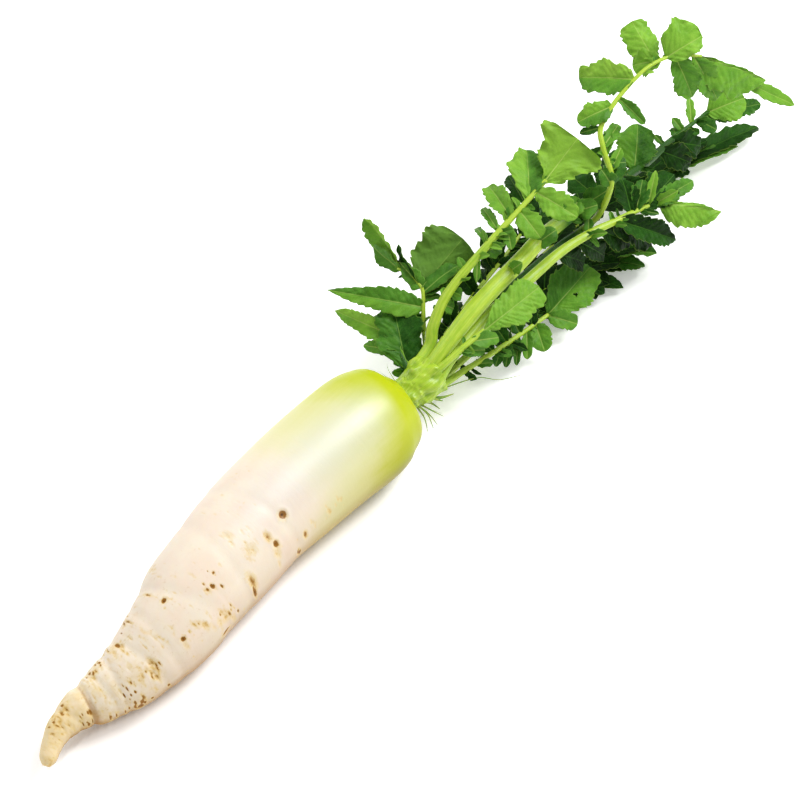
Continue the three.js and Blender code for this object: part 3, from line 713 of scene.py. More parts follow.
# Where each strand leaves the crown, the points on its way and its tip; then its radius at the start.
LONG_STRANDS = [
    ([(128, -21, 33), (139, -24, 30), (160, -32, 25), (170, -41, 20), (186, -49, 16)], 0.6),
    ([(114, -19, 34), (115, -27, 29), (113, -33, 22)], 0.8),
    ([(115, -18, 32), (119, -25, 24), (120, -31, 17)], 0.75),
    ([(114, -18, 33), (113, -26, 27), (110, -31, 20)], 0.7),
    ([(116, -18, 33), (121, -27, 26), (125, -32, 21)], 0.7),
    ([(118, -19, 35), (124, -24, 33), (129, -28, 29)], 1.7),
    ([(124, -21, 31), (131, -26, 29), (139, -29, 27)], 1.6),
    ([(120, -17, 29), (126, -21, 25), (129, -26, 20)], 1.4),
    ([(112, -18, 38), (109, -27, 36), (106, -34, 30)], 0.26),
    ([(117, -19, 30), (124, -24, 22), (130, -28, 16)], 0.26),
    ([(113, -3, 40), (111, 5, 44), (113, 13, 44)], 0.32),
    ([(116, -2, 40), (119, 6, 43), (124, 11, 41)], 0.28),
    ([(112, -2, 34), (107, 7, 36), (106, 14, 33)], 0.26),
    ([(114, -6, 44), (110, 0, 49), (109, 6, 52)], 0.24),
]
SHORT_STRANDS = 22
STRAND_SEED = 7
STRAND_START = 8.6  # how far from the crown's axis the short ones start
STRAND_SIDES = 5
STRAND_RINGS = 14


def strands(routes):
    """Thin tapering threads along the routes, as one mesh's points and faces."""
    places = np.linspace(0, 1, STRAND_RINGS)
    angles = round_angles(STRAND_RINGS, STRAND_SIDES)
    points = []
    faces = []
    count = 0
    for route, radius in routes:
        line, slopes = spline(route, places)
        taper = np.broadcast_to(radius * (1 - 0.8 * places[:, None]), angles.shape)
        thread, thread_faces = tube(line, slopes, taper, angles, count)
        points.append(thread)
        faces += thread_faces
        count += len(thread)
    return np.vstack(points), faces


def short_strands():
    """Seeded short hairs all round the crown, standing out from its skin and slightly bent."""
    draw = np.random.default_rng(STRAND_SEED)
    routes = []
    for _ in range(SHORT_STRANDS):
        angle = draw.uniform(0, 2 * math.pi)
        axis = np.array([draw.uniform(110, 122), -11, 36])
        out = np.array([0, math.sin(angle), math.cos(angle)])
        start = axis + out * STRAND_START
        reach = draw.uniform(3, 8)
        bend = np.array([draw.uniform(-3, 2), draw.uniform(-2, 2), draw.uniform(-2, 2)])
        routes.append(([start, start + out * reach * 0.6 + bend * 0.4, start + out * reach + bend], 0.2))
    return routes


def fibre_finish():
    """Dry plant fibre, mottled in two dull greens."""
    fibre = Finish("crown_fibre")
    colour = fibre.mix(fibre.rise(fibre.mottle(5), 0.4, 0.6), seen(112, 156, 34), seen(156, 176, 64))
    return fibre.close(fibre.surface({"Base Color": colour, "Roughness": 0.6}))


strand_points, strand_faces = strands(LONG_STRANDS + short_strands())
piece("crown_fibres", strand_points, strand_faces, fibre_finish(), "crown")

# ---- Leaf standing upright ----
# A young leaf that rises over most others: a slim grooved stalk with soft toothed leaflets along it
# and one broad fan at its end. Stalk and blades are one grown piece.

BLADE_THICKNESS = 0.34
LOWEST_LEAF = 0.25  # no point of a leaf is nearer to the surface
TOOTH_LENGTH = 4.6
WIDE = 8  # teeth grow with the blade only up to this half width
CREASED_WIDTH = 24  # and its pucker and creases only up to this width
# Heights as shares of the blade's width: the long and short waves of its rim, the pucker between its
# side veins and the creases.
LONG_WAVE = 0.05
SHORT_WAVE = 0.03
PUCKER = 0.018
CREASE = 0.014
BLADE_CUP = 0.06  # how far the rim sinks, and how far it leans to the tip, as shares of the half width
RIM_LEAN = 0.2
STALK_SIDES = 30
STALK_SWELL = 0.15  # a stalk reaches its full thickness at this share of its length
STALK_GROOVE = 0.14  # depth and heights as shares of the stalk's radius
STALK_RIB = 0.028
STALK_BUMP = 0.03
STALK_FOOT = 0.4  # a stalk is this much thicker where it grows from the crown
FOOT_LENGTH = 12  # and the foot fades over this length
ROUTE_STEPS = 600  # steps in which a stalk's length is measured
LOBE_DROP = 1.2  # small lobes spring from the underside of the stalk

# Directions that a blade's upper face looks in.
SKY = (0, 0, 1)
TAILWARD = (-0.5, -0.4, 0.77)
UNDER_TAILWARD = (0.5, 0.4, -0.77)
SIDEWAYS = (-0.6, 0.6, 0.3)

# Blade outlines: exponents of t^base (1 - t)^end, which sets where the blade is widest.
SIDE_BLADE = (0.55, 0.6)
END_BLADE = (0.5, 0.5)
LONG_BLADE = (0.6, 0.8)
WING_BLADE = (0.3, 0.9)

# What a blade has where its leaf doesn't say otherwise. Halves scale the left and right half, and the
# side light paints the left half brighter and the right one darker, as painted light and shade.
PLAIN_BLADE = dict(shape=SIDE_BLADE, fold=0.3, bow=2, halves=(1, 1), tilt=0, pucker=1, holes=())


def seeded_draw(seed):
    """The same draws, 0 to 1, as the solid leaves are grown from."""
    state = seed
    while True:
        state = (state * 1664525 + 1013904223) % 4294967296
        yield state / 4294967296


class Route:
    """A stalk's curve, followed by its share of the length from the crown."""

    def __init__(self, places):
        self.places = places
        self.t = np.linspace(0, 1, ROUTE_STEPS)
        line = spline(places, self.t)[0]
        run = np.concatenate([[0], np.cumsum(np.linalg.norm(np.diff(line, axis=0), axis=1))])
        self.length = run[-1]
        self.share = run / run[-1]

    def at(self, share):
        """Points and slopes at shares of the length."""
        return spline(self.places, np.interp(np.atleast_1d(share), self.share, self.t))


def stalk_radius(radii, taper, u):
    """Radius along a stalk, from the crown over its thickest to its end."""
    at_crown, thickest, at_end = radii
    near = at_crown + (thickest - at_crown) * u / STALK_SWELL
    late = np.clip((u - STALK_SWELL) / (1 - STALK_SWELL), 0, 1) ** taper
    return np.where(u < STALK_SWELL, near, thickest + (at_end - thickest) * late)


def stalk_piece(name, route, radii, taper, shade, phase):
    """A stalk, round below, shallowly grooved on top, ribbed along its length."""
    rings = int(route.length / 1.3) + 8
    u = np.linspace(0, 1, rings)[:, None]
    line, slopes = route.at(u[:, 0])
    angles = round_angles(rings, STALK_SIDES)
    on_top = np.maximum(0, np.cos(angles))
    ribs = np.cos(7 * angles + 0.5 * np.sin(u * 9 + phase))
    bumps = np.sin(u * route.length / 11 + phase) * np.sin(angles * 2 + phase)
    radius = stalk_radius(radii, taper, u) * (1 + STALK_FOOT * np.exp(-u * route.length / FOOT_LENGTH))
    skin = radius * (1 - STALK_GROOVE * on_top**2 + STALK_RIB * ribs + STALK_BUMP * bumps)
    points, faces = tube(line, slopes, skin, angles)
    points[:, 2] = np.maximum(points[:, 2], LOWEST_LEAF)
    along = np.broadcast_to(u * route.length, angles.shape)
    # painted shade along the stalk, full from the second place of shade on
    deep = np.broadcast_to(np.clip((u - shade[0]) / (shade[1] - shade[0]), 0, 1), angles.shape)
    # the third number paints highlight on the ribs and shade in the grooves in the finish
    stem = np.stack([along, angles * 1.2 + phase, ribs * 0.8 + bumps * 0.2], -1)
    fields = {"stem": with_ends(stem), "shade": with_ends(deep)}
    piece(name + "_stalk", points, faces, stalk_finish, name, fields)


def blade_outline(t, length, width, shape, teeth, draw):
    """Half widths of the left and right edges of a blade: a smooth outline with forward teeth."""
    base, end = shape
    widest = base / (base + end)
    peak = widest**base * (1 - widest) ** end
    plain = width / 2 * t**base * (1 - t) ** end / peak
    edges = []
    for _ in range(2):
        shift = draw.uniform(0, 1)
        sizes = draw.uniform(0.1, 0.34, teeth + 3)
        along = t * teeth + shift + 0.3 * np.sin(t * 9 + shift * 6)
        tooth = along % 1
        profile = np.minimum(tooth**0.8, (1 - tooth) * 4)
        size = sizes[along.astype(int) % len(sizes)]
        lobe = 1 + draw.uniform(0.06, 0.13) * np.sin(t * draw.uniform(8, 14) + 6 * shift)
        foot = 0.5 * np.clip(1 - t * length / 4, 0, 1)
        toothed = plain * lobe + size * np.minimum(plain, WIDE) * (profile - 0.6)
        edges.append(np.maximum(toothed, 0.4 + foot))
    return plain, edges


def leaflet(base, wave_phase, draw, blade):
    """One toothed blade: its upper and lower skin, its fields, and which of its squares are kept."""
    width, fold, bow, shape = (blade[key] for key in ("width", "fold", "bow", "shape"))
    tip = np.array(blade["tip"], float)
    axis = tip - base
    length = np.linalg.norm(axis)
    facing = np.array(blade["face"], float)
    facing = unit(facing - axis * (facing @ axis) / length**2)
    middle = (base + tip) / 2 + facing * 2 * bow
    coarse_teeth = 5 if length > 40 else 4 if length > 25 else 3 if length > 13 else 2
    teeth = int(np.clip(length / TOOTH_LENGTH, 3, 10))
    rows = int(np.clip(length * 1.5, 20, 84))
    columns = 2 * int(np.clip(width * 0.6, 5, 20))
    t = np.linspace(0, 1, rows + 1)[:, None]
    s = np.linspace(-1, 1, columns + 1)[None, :]
    off = np.abs(s)
    hand = np.sign(s)
    midrib = (1 - t) ** 2 * base + 2 * t * (1 - t) * middle + t**2 * tip
    along = unit(2 * (1 - t) * (middle - base) + 2 * t * (tip - middle))
    normal = unit(facing - along * (along @ facing)[:, None])
    across = np.cross(along, normal)
    plain, edges = blade_outline(t, length, width, shape, teeth, draw)
    half = np.where(s < 0, edges[0] * blade["halves"][0], edges[1] * blade["halves"][1])
    from_rib = off * half
    fade = np.minimum(1, plain / 4)  # no waves at the narrow ends
    ripple = np.sin(wave_phase + t * (2 * coarse_teeth + 1) * 1.1 + hand * 1.7)
    lift = LONG_WAVE * width * ripple * fade * off**1.6
    finer = np.sin(wave_phase * 3 + t * teeth * 4.1 + hand * 2.3)
    lift = lift + SHORT_WAVE * width * finer * off**3 * fade
    lift = lift + half * off * math.sin(fold) - BLADE_CUP * half * off**2
    vein = teeth * (t + 0.85 * half / length * (1 - off**1.15)) + 0.3 * np.sin(hand + wave_phase)
    pucker = np.sin(np.pi * vein) ** 2 * np.clip(off * 4, 0, 1) * np.clip((1 - off) * 4, 0, 1)
    creases = 0
    for k, (a, b) in enumerate(draw.normal(0, 1, (5, 2)), start=1):
        creases = creases + np.sin(t * length * 0.22 * k + a * 3 + s * width * 0.16 * k + b * 3) / k
    span = min(width, CREASED_WIDTH)
    lift = lift + fade * (PUCKER * span * pucker * blade["pucker"] + CREASE * span * creases)
    lift = lift - 0.5 * np.exp(-((from_rib / 0.9) ** 2)) * (1 - t)
    centre = midrib[:, None] + across[:, None] * (s * half * math.cos(fold))[..., None]
    centre = centre + normal[:, None] * lift[..., None]
    centre = centre + along[:, None] * (RIM_LEAN * plain * (1 - t) * off)[..., None]
    rib = (0.25 + 0.7 * (1 - t)) * min(1, width / 14) * np.exp(-((from_rib / 0.7) ** 2))
    upper = centre + normal[:, None] * (BLADE_THICKNESS / 2)
    lower = centre - normal[:, None] * (BLADE_THICKNESS / 2 + rib)[..., None]
    upper[..., 2] = np.maximum(upper[..., 2], LOWEST_LEAF + BLADE_THICKNESS)
    lower[..., 2] = np.maximum(lower[..., 2], LOWEST_LEAF)
    # painted light and shade: one half of the blade lighter, the other darker
    side_light = np.clip(hand * np.minimum(1, off * 6), -1, 1) * blade["tilt"]
    light_and_tone = np.clip(blade["light_and_tone"] - side_light, 0, 1)
    spot = np.stack(np.broadcast_arrays(t * length, s * half, vein), -1).reshape(-1, 3)
    look = np.stack(np.broadcast_arrays(0.0, light_and_tone, off, half), -1).reshape(-1, 4)[:, :3]
    vein_gap = np.full(half.size, length / teeth)
    keep = np.ones((rows, columns), bool)
    for at_t, at_s, size in blade["holes"]:
        mid_t = (t[:-1] + t[1:]) / 2
        mid_s = (s[:, :-1] + s[:, 1:]) / 2
        away = np.hypot((mid_t - at_t) * length, (mid_s - at_s) * width / 2)
        keep &= away > size * (1 + 0.25 * np.sin(5 * mid_s * 9 + mid_t * 40))
    return upper, lower, spot, look, vein_gap, keep


def blades_mesh(parts):
    """Joins leaflets into one skin: each upper and lower face, and a strip along each open edge."""
    points = []
    faces = []
    fields = {"blade": [], "look": [], "vein_gap": []}
    first = 0
    for upper, lower, spot, look, vein_gap, keep in parts:
        rows, columns = keep.shape
        grid = first + np.arange((rows + 1) * (columns + 1)).reshape(rows + 1, columns + 1)
        count = grid.size
        a, b, c, d = grid[:-1, :-1], grid[:-1, 1:], grid[1:, 1:], grid[1:, :-1]
        quads = np.stack([a, b, c, d], -1)[keep]
        faces += quads.tolist()
        faces += (quads[:, ::-1] + count).tolist()
        solid = np.pad(keep, 1)
        for near, far, down, over in ((a, b, 0, 1), (b, c, 1, 2), (c, d, 2, 1), (d, a, 1, 0)):
            open_edge = keep & ~solid[down : down + rows, over : over + columns]
            p = near[open_edge]
            q = far[open_edge]
            faces += np.stack([q, p, p + count, q + count], -1).tolist()
        points += [upper.reshape(-1, 3), lower.reshape(-1, 3)]
        fields["blade"] += [spot, spot]
        fields["look"] += [look, look + (1, 0, 0)]  # the first number tells the underside
        fields["vein_gap"] += [vein_gap, vein_gap]
        first += 2 * count
    return np.vstack(points), faces, {name: np.concatenate(found) for name, found in fields.items()}


def leaf_finish():
    """Leaf: green blade, pale ribs and veins, a greyer underside, painted from dark shade to light per
    blade, lit through most where it is painted light.
    """
    leaf = Finish("leaf_blade")
    along, across, vein = leaf.parts(leaf.field("blade", "Vector"))
    under, light_and_tone, edge = leaf.parts(leaf.field("look", "Vector"))
    gap = leaf.field("vein_gap")
    from_vein = abs(leaf.reckon("FRACT", vein + 0.5) - 0.5) * gap
    wobble = leaf.mottle(1.6, detail=2) - 0.5
    veins = 1 - leaf.rise(from_vein + wobble * 0.25, 0.03, 0.3 - edge * 0.16)
    taper = leaf.reckon("MINIMUM", along * 0.014, 0.42)
    rib = 1 - leaf.rise(abs(across), 0.05, 0.62 - taper)
    net = {"Vector": leaf.add("ShaderNodeCombineXYZ", inputs={"X": along, "Y": across}), "Scale": 0.75}
    net = leaf.add("ShaderNodeTexVoronoi", {"feature": "DISTANCE_TO_EDGE"}, net, "Distance")
    net = 1 - leaf.rise(net, 0.02, 0.12)
    cloud = leaf.mottle(7)
    grain = leaf.mottle(1.1, detail=5)
    # each blade's lightness: mostly painted light and shade, with cloudy variation
    level = light_and_tone + (cloud - 0.5) * 0.4 + (grain - 0.5) * 0.16
    top = leaf.ramp(
        level,
        (0.0, 14, 38, 10),
        (0.3, 42, 94, 24),
        (0.55, 92, 153, 48),
        (0.8, 130, 188, 58),
        (1.0, 164, 214, 78),
    )
    below = leaf.ramp(level, (0.0, 62, 98, 40), (0.5, 110, 156, 58), (1.0, 156, 206, 66))
    light = leaf.rise(light_and_tone, 0.05, 0.85)
    pale_vein = leaf.mix(light, seen(76, 128, 40), seen(182, 220, 104))
    pale_rib = leaf.mix(light, pale_vein, seen(200, 226, 116))
    colour = leaf.coats(
        leaf.mix(under, top, below),
        (net * 0.14, pale_vein),
        (veins * (0.3 - under * 0.12), pale_vein),
        (rib * leaf.rise(gap, 2.6, 4.4) * 0.75, pale_rib),
        (leaf.rise(edge, 0.93, 1.0) * 0.3, seen(160, 192, 80)),
        (leaf.rise(leaf.mottle(0.9, detail=4), 0.7, 0.75) * 0.4, seen(196, 206, 120)),
    )
    height = grain * 0.35 + net * 0.25 - veins * 0.5 + cloud * 0.2
    shader = {
        "Base Color": colour,
        "Roughness": 0.4 + grain * 0.16 + under * 0.14,
        "Normal": leaf.bump(0.4, 0.35, height),
        "IOR": 1.12,
        "Coat Weight": leaf.rise(light_and_tone, 0.1, 0.6) * 0.2,
        "Coat Roughness": 0.38,
        "Coat IOR": 1.4,
    }
    glow = leaf.add("ShaderNodeBsdfTranslucent", inputs={"Color": seen(176, 222, 60)})
    glow_share = 0.05 + leaf.rise(light_and_tone, 0.1, 0.7) * 0.2
    layers = {0: glow_share, 1: leaf.surface(shader), 2: glow}
    return leaf.close(leaf.add("ShaderNodeMixShader", inputs=layers))


def stray_lobes(route, draw, lobes, light_and_tone):
    """Small lobes on a stalk between its leaflets, placed by rule with seeded draws."""
    count, start, reach, highest = lobes
    up = np.array([0, 0, 1.0])
    found = []
    for _ in range(count):
        at = draw.uniform(start, 0.97)
        root, slope = (found_at[0] for found_at in route.at(at))
        ahead = unit(slope)
        side = unit(np.cross(ahead, up)) * draw.choice([-1, 1])
        rise = up * draw.uniform(-0.6, highest)
        size = draw.uniform(0.45, 1) * reach
        tip = root + unit(side * draw.uniform(0.5, 1) + ahead * draw.uniform(0.1, 0.9) + rise) * size
        tip[2] = max(tip[2], LOWEST_LEAF + 1)
        lobe = dict(tip=tip, bow=1, width=size * draw.uniform(0.3, 0.75))
        lobe["face"] = (draw.uniform(-0.8, 0.1), draw.uniform(-0.7, 0.5), draw.uniform(0.3, 1))
        lobe["light_and_tone"] = min(1, max(0, light_and_tone + draw.uniform(-0.25, 0.2)))
        lobe["fold"] = draw.uniform(0.1, 0.6)
        found.append((root - up * LOBE_DROP, lobe))
    return found


def grow_leaf(name, order, stalk, radii, leaflets, lobes, face=TAILWARD, taper=0.9, light_and_tone=0.6, shade=(1, 2)):
    """A whole leaf, standing for one solid of the frame: its stalk and its blades.

    Radii are the stalk's at the crown, at its thickest and at its end. A leaflet's row holds its place
    along the stalk, tip, width and lightness, then, if they aren't the plain ones, its fold, its bow and a
    dict of the rest. The lightness is mostly painted light and shade, low for a blade in shade and high for
    a lit one, with a little of the leaf's own colour. Lobes are how many small ones there are, where they
    start, how long they get and how high they rise. From the first place of shade to the second the stalk
    turns dark with painted shade.
    """
    route = Route(stalk)
    waves = seeded_draw(11 + 7 * order)
    draw = np.random.default_rng(100 + order)
    stalk_piece(name, route, radii, taper, shade, order * 1.3)
    parts = []
    for at, tip, width, blade_light, *own in leaflets:
        blade = {**PLAIN_BLADE, "face": face, "tip": tip, "width": width, "light_and_tone": blade_light}
        blade.update(zip(("fold", "bow"), own))
        blade.update(*own[2:])
        base = route.at(min(at, 0.995))[0][0]
        parts.append(leaflet(base, 2 * math.pi * next(waves), draw, blade))
    for base, lobe in stray_lobes(route, draw, lobes, light_and_tone):
        parts.append(leaflet(base, draw.uniform(0, 6), draw, {**PLAIN_BLADE, **lobe}))
    points, faces, fields = blades_mesh(parts)
    piece(name + "_blades", points, faces, blade_finish, name, fields)


stalk_finish = stem_finish(
    "leaf_stalk", seen(174, 207, 50), seen(202, 224, 86), seen(130, 180, 34), rough=0.32, groove_shade_and_wear=0.6
)
blade_finish = leaf_finish()

grow_leaf(
    "leaf_upright",
    0,
    [(131, -6, 42), (146, -5, 48), (155, -1, 57), (173, 1, 70), (208, -4, 88), (259, -9, 104)],
    (3.4, 3.7, 1.4),
    [
        (
            0.98, (289, -11, 118), 44, 0.86, 0.15, 3,
            dict(face=UNDER_TAILWARD, shape=(0.85, 0.15), pucker=0.3),
        ),
        (0.93, (252, -38, 95), 18, 0.84, 0.15, 3, dict(shape=END_BLADE, holes=[(0.68, -0.2, 1.4)])),
        (0.82, (229, -27, 89), 16, 0.76, 0.2, 2, dict(shape=END_BLADE)),
        (0.74, (214, -16, 84), 9, 0.6, 0.3, 1),
        (0.86, (262, 21, 88), 12, 0.24, 0.3, 1),
        (0.8, (246, 17, 84), 14, 0.3, 0.3, 1),
        (0.57, (220, -4, 74), 12, 0.5, 0.3, 1),
        (0.89, (278, 19, 99), 26, 0.66, 0.3, 3, dict(tilt=0.2)),
        (0.87, (256, 5, 102), 6, 0.8, 0.3, 1),
        (0.77, (245, 24, 90), 16, 0.75, 0.4, 3),
        (0.69, (232, 19, 84), 8, 0.6, 0.5),
        (0.62, (219, 14, 80), 6, 0.5, 0.5),
        (0.55, (188, -9, 72), 5, 0.6, 0.2, 1),
        (0.36, (181, -3, 62), 9, 0.5, 0.3, 1),
        (0.3, (174, -2, 56), 10, 0.55, 0.3, 1),
    ],
    lobes=(22, 0.22, 10, 0.5),
)

# ---- Leaf in the middle of the bunch ----
# The broadest stalk, pale and ribbed. It runs far out under the arched leaf and carries toothed
# leaflets, most of them from half way on. Stalk and blades are one grown piece.

grow_leaf(
    "leaf_central",
    1,
    [
        (131, -14, 43), (144, -15, 51), (177, -16, 63), (220, -19, 71), (247, -20, 74), (301, -22, 66),
        (350, -25, 57), (385, -25, 53), (424, -29, 52),
    ],
    (4, 5.6, 1),
    [
        (1, (446, -43, 56), 25, 0.74, 0.2, 3, dict(shape=(0.5, 0.45))),
        (0.97, (468, -45, 36), 15, 0.3),
        (0.96, (420, -39, 44), 11, 0.3),
        (0.5, (285, -32, 76), 14, 0.5),
        (0.94, (419, -16, 61), 7, 0.7, 0.3, 1),
        (0.91, (399, -16, 57), 7, 0.5, 0.3, 1),
        (0.86, (406, -36, 38), 20, 0.08),
        (0.82, (391, -38, 35), 20, 0.02),
        (0.72, (369, -7, 69), 28, 0.5, -0.2, 4, dict(shape=END_BLADE, tilt=0.14)),
        (0.66, (338, -38, 46), 19, 0.05),
        (0.7, (339, 3, 44), 20, 0.1),
        (0.62, (339, -12, 62), 17, 0.3),
        (0.58, (308, 2, 62), 19, 0.22),
        (0.53, (301, -30, 76), 15, 0.4, 0.25),
        (0.36, (248, -26, 80), 13, 0.46, 0.2, 3),
        (0.28, (210, -27, 83), 9, 0.6, 0.2, 1),
        (0.5, (276, 5, 60), 17, 0.3),
        (0.47, (281, -21, 78), 14, 0.6),
    ],
    lobes=(18, 0.45, 15, 0.6),
    taper=1.7,
    light_and_tone=0.3,
    # painted shade on the outer part of the stalk, under the leaves above it
    shade=(0.39, 0.46),
)

# ---- Arched leaf ----
# The longest leaf on a slim stalk, which lies low at first and then rises in a high arch. Its round
# toothed leaflets stand and hang along the arch. Stalk and blades are one grown piece.

grow_leaf(
    "leaf_arched",
    2,
    [
        (131, -16.5, 35.8), (158, -11, 38), (189, -11, 43), (215, -15, 47), (258, -20, 51), (279, -26, 55),
        (289, -32, 66), (296, -34, 90), (301, -23, 107), (309, -15, 115), (326, -14, 124), (347, -17, 133),
        (361, -21, 136), (373, -28, 136.5), (386, -38, 132),
    ],
    (2.8, 2.8, 1),
    [
        (1, (428, -65, 97), 32, 0.7, -0.2, 2, dict(shape=LONG_BLADE, halves=(0.12, 1.2))),
        (0.99, (443, -81, 73), 10, 0.74, 0.2, -3, dict(shape=(2.6, 0.7))),
        (0.98, (392, -50, 98), 18, 0.62),
        (0.94, (375, -41, 107), 20, 0.56),
        (0.92, (389, -35, 145), 33, 0.84, 0.15, 3, dict(shape=(0.36, 0.4), halves=(1.1, 0.5))),
        (0.9, (376, 9, 143), 22, 0.84, -0.2, -3, dict(shape=(0.75, 0.32), halves=(1.1, 0.9))),
        (0.91, (358, -5, 126), 18, 0.8, 0.2, 1),
        (0.84, (329, 16, 125), 23, 0.77, 0.3, 3, dict(shape=(0.42, 0.45), tilt=-0.2)),
        (0.77, (302, -2, 117), 16, 0.66, 0.3, 2, dict(shape=(0.45, 0.5), tilt=-0.14)),
        (0.72, (301, -5, 110), 6, 0.3),
        (0.79, (330, -34, 113), 10, 0.5, 0.6),
        (0.68, (300, -16, 96), 9, 0.3),
        (0.66, (316, -17, 109), 8, 0.6, 0.6, 1),
        (0.68, (325, -18, 107), 10, 0.6),
        (0.7, (309, -17, 106), 8, 0.3),
        (0.63, (312, -29, 103), 8, 0.68, 0.5, 1),
        (0.645, (313, -33, 92), 9, 0.3),
        (0.6, (294, -27, 97), 12, 0.4),
        (0.62, (310, -26, 101), 8, 0.2),
    ],
    lobes=(6, 0.6, 8, 0.7),
    taper=1.2,
    light_and_tone=0.7,
    # painted shade on the low part of the stalk, under the other leaves
    shade=(0.52, 0.46),
)

# ---- Leaf leaning right ----
# A firm stalk that leans out to the side. It ends in one long blade, almost all of it on one side of
# its rib, over smaller ones. Stalk and blades are one grown piece.

grow_leaf(
    "leaf_right",
    3,
    [
        (131, -22, 40.5), (150, -20, 47), (179, -20, 52), (205, -24, 56), (247, -29, 61), (273, -36, 63),
        (292, -42, 62), (313, -47, 59), (329, -52, 56),
    ],
    (2.6, 4, 1.3),
    [
        (1, (354, -84, 47), 29, 0.84, -0.1, 2, dict(shape=LONG_BLADE, halves=(0.2, 1.02))),
        (0.95, (335, -43, 74), 7, 0.85, 0.4, 1),
        (0.98, (335, -61, 67), 8, 0.75, 0.4, 1),
        (0.94, (351, -48, 61), 27, 0.12, -0.2, 3, dict(shape=END_BLADE)),
        (0.96, (359, -58, 55), 13, 0.5),
        (0.82, (331, -66, 28), 19, 0.1, 0.35, 3, dict(shape=LONG_BLADE, tilt=-0.1)),
        (0.88, (322, -27, 66), 17, 0.1),
        (0.9, (330, -37, 66), 13, 0.35, 0.4),
        (0.74, (307, -46, 32), 17, 0.02),
        (0.66, (286, -40, 34), 15, 0.0),
        (0.8, (325, -52, 24), 22, 0.0),
        (0.58, (277, -31, 30), 17, 0.02),
    ],
    lobes=(13, 0.68, 13, 0.5),
    taper=1.8,
    light_and_tone=0.4,
)

# ---- Short leaf ----
# A short stalk and one oval blade with strong side veins, which lies over the thick stalks, with
# small ones under it. Stalk and blades are one grown piece.

grow_leaf(
    "leaf_short",
    4,
    [(131, -19.5, 46.5), (146, -23.5, 52.5), (158, -26, 55.5), (170, -28.5, 57.5)],
    (1.8, 2, 1.5),
    [
        (1, (217, -36, 61), 25, 0.84, 0.15, 2, dict(shape=(0.8, 0.45), pucker=1.6)),
        (0.72, (176, -35, 50), 11, 0.6),
        (0.5, (165, -33, 47), 9, 0.5, 0.3, 1),
    ],
    lobes=(4, 0.3, 8, 0.2),
    light_and_tone=0.7,
)

# ---- Low leaf on the right ----
# A thin leaf that leans out low on the side, with one round leaflet at its end and small ones
# hanging from the stalk. Stalk and blades are one grown piece.

grow_leaf(
    "leaf_low_right",
    5,
    [(131, -22, 33.8), (154, -24, 30), (185, -28, 25), (216, -31, 20), (235, -33, 18)],
    (1.8, 2, 1.3),
    [
        (
            1, (283, -32, 21), 32, 0.53, 0.35, 3,
            dict(shape=END_BLADE, tilt=-0.12, holes=[(0.45, 0.3, 1.3)]),
        ),
        (0.99, (245, -49, 11), 14, 0.6),
        (0.88, (213, -46, 11), 17, 0.6),
        (0.8, (201, -41, 11), 9, 0.6, 0.4, 1),
        (0.72, (192, -39, 12), 7, 0.35, 0.5, 1),
        (0.64, (186, -35, 13), 7, 0.3),
        (0.56, (182, -30, 14), 7, 0.25),
        (0.74, (216, -17, 22), 12, 0.3),
        (0.62, (202, -14, 24), 11, 0.26),
        (0.5, (186, -13, 25), 10, 0.3),
        (0.85, (230, -21, 22), 12, 0.04),
    ],
    lobes=(26, 0.2, 13, -0.1),
    light_and_tone=0.3,
)

# ---- Near leaf on the left ----
# A short leaf that turns out sideways beside the crown, with one light narrow blade and darker ones
# round it. Stalk and blades are one grown piece.

grow_leaf(
    "leaf_left_near",
    6,
    [(126, -8, 36), (129, -1, 39), (133, 7, 43), (139, 19, 48)],
    (1.9, 2, 1.3),
    [
        (1, (136, 61, 45), 15, 0.84, 0.2, 2, dict(shape=(0.35, 0.8), tilt=-0.1)),
        (0.3, (156, 31, 54), 30, 0.3, 0.2, 3, dict(shape=(0.4, 0.5), tilt=0.12)),
        (0.66, (129, 33, 38), 9, 0.58),
        (0.42, (151, 5, 39), 11, 0.1),
        (0.5, (148, 21, 36), 24, 0.14),
        (0.15, (141, 25, 50), 6, 0.8, 0.3, 1),
        (0.3, (134, 14, 36), 5, 0.2),
        (0.25, (133, 7, 36), 5, 0.3),
        (0.2, (133, 1, 36), 5, 0.2),
    ],
    lobes=(12, 0.2, 10, 0.3),
    light_and_tone=0.34,
    # painted shade on nearly all the stalk, under its dark blades
    shade=(-0.2, 0.1),
)

# ---- Far leaf on the left ----
# A bent leaf with a greyish fan that shows its underside, a narrow blade at its tip and a long one
# that points back. Stalk and blades are one grown piece.

grow_leaf(
    "leaf_left_far",
    7,
    [
        (131, -9.5, 35), (150, 1, 36), (156, 7, 46), (162, 12, 54), (170, 19, 63), (171, 28, 67),
        (170, 38, 70),
    ],
    (1.7, 1.8, 1),
    [
        (1, (181, 73, 83), 20, 0.8, 0.5, -3, dict(shape=(0.6, 0.5), tilt=-0.12)),
        (0.97, (174, 60, 72), 13, 0.5, 0.3, 1),
        (0.76, (173, 39, 72), 12, 0.55, 0.2, 1, dict(face=TAILWARD, shape=WING_BLADE)),
        (0.8, (180, 45, 78), 12, 0.14),
        (
            0.76, (206, 15, 81), 36, 0.32, 0.2, 3,
            dict(face=UNDER_TAILWARD, shape=(0.55, 0.36), pucker=0.5, halves=(0.85, 1.25)),
        ),
        (0.72, (195, 9, 70), 13, 0.4, 0.3, 2, dict(face=SKY)),
        (0.7, (184, 9, 62), 8, 0.42, 0.3, 1, dict(face=SKY)),
        (0.66, (176, 9, 58), 7, 0.42, 0.3, 1, dict(face=SKY)),
        (0.61, (132, 63, 66), 17, 0.58, 0.15, 3, dict(face=TAILWARD, shape=(0.36, 0.9), tilt=0.1)),
    ],
    lobes=(9, 0.4, 8, 0.5),
    face=SIDEWAYS,
    light_and_tone=0.36,
)

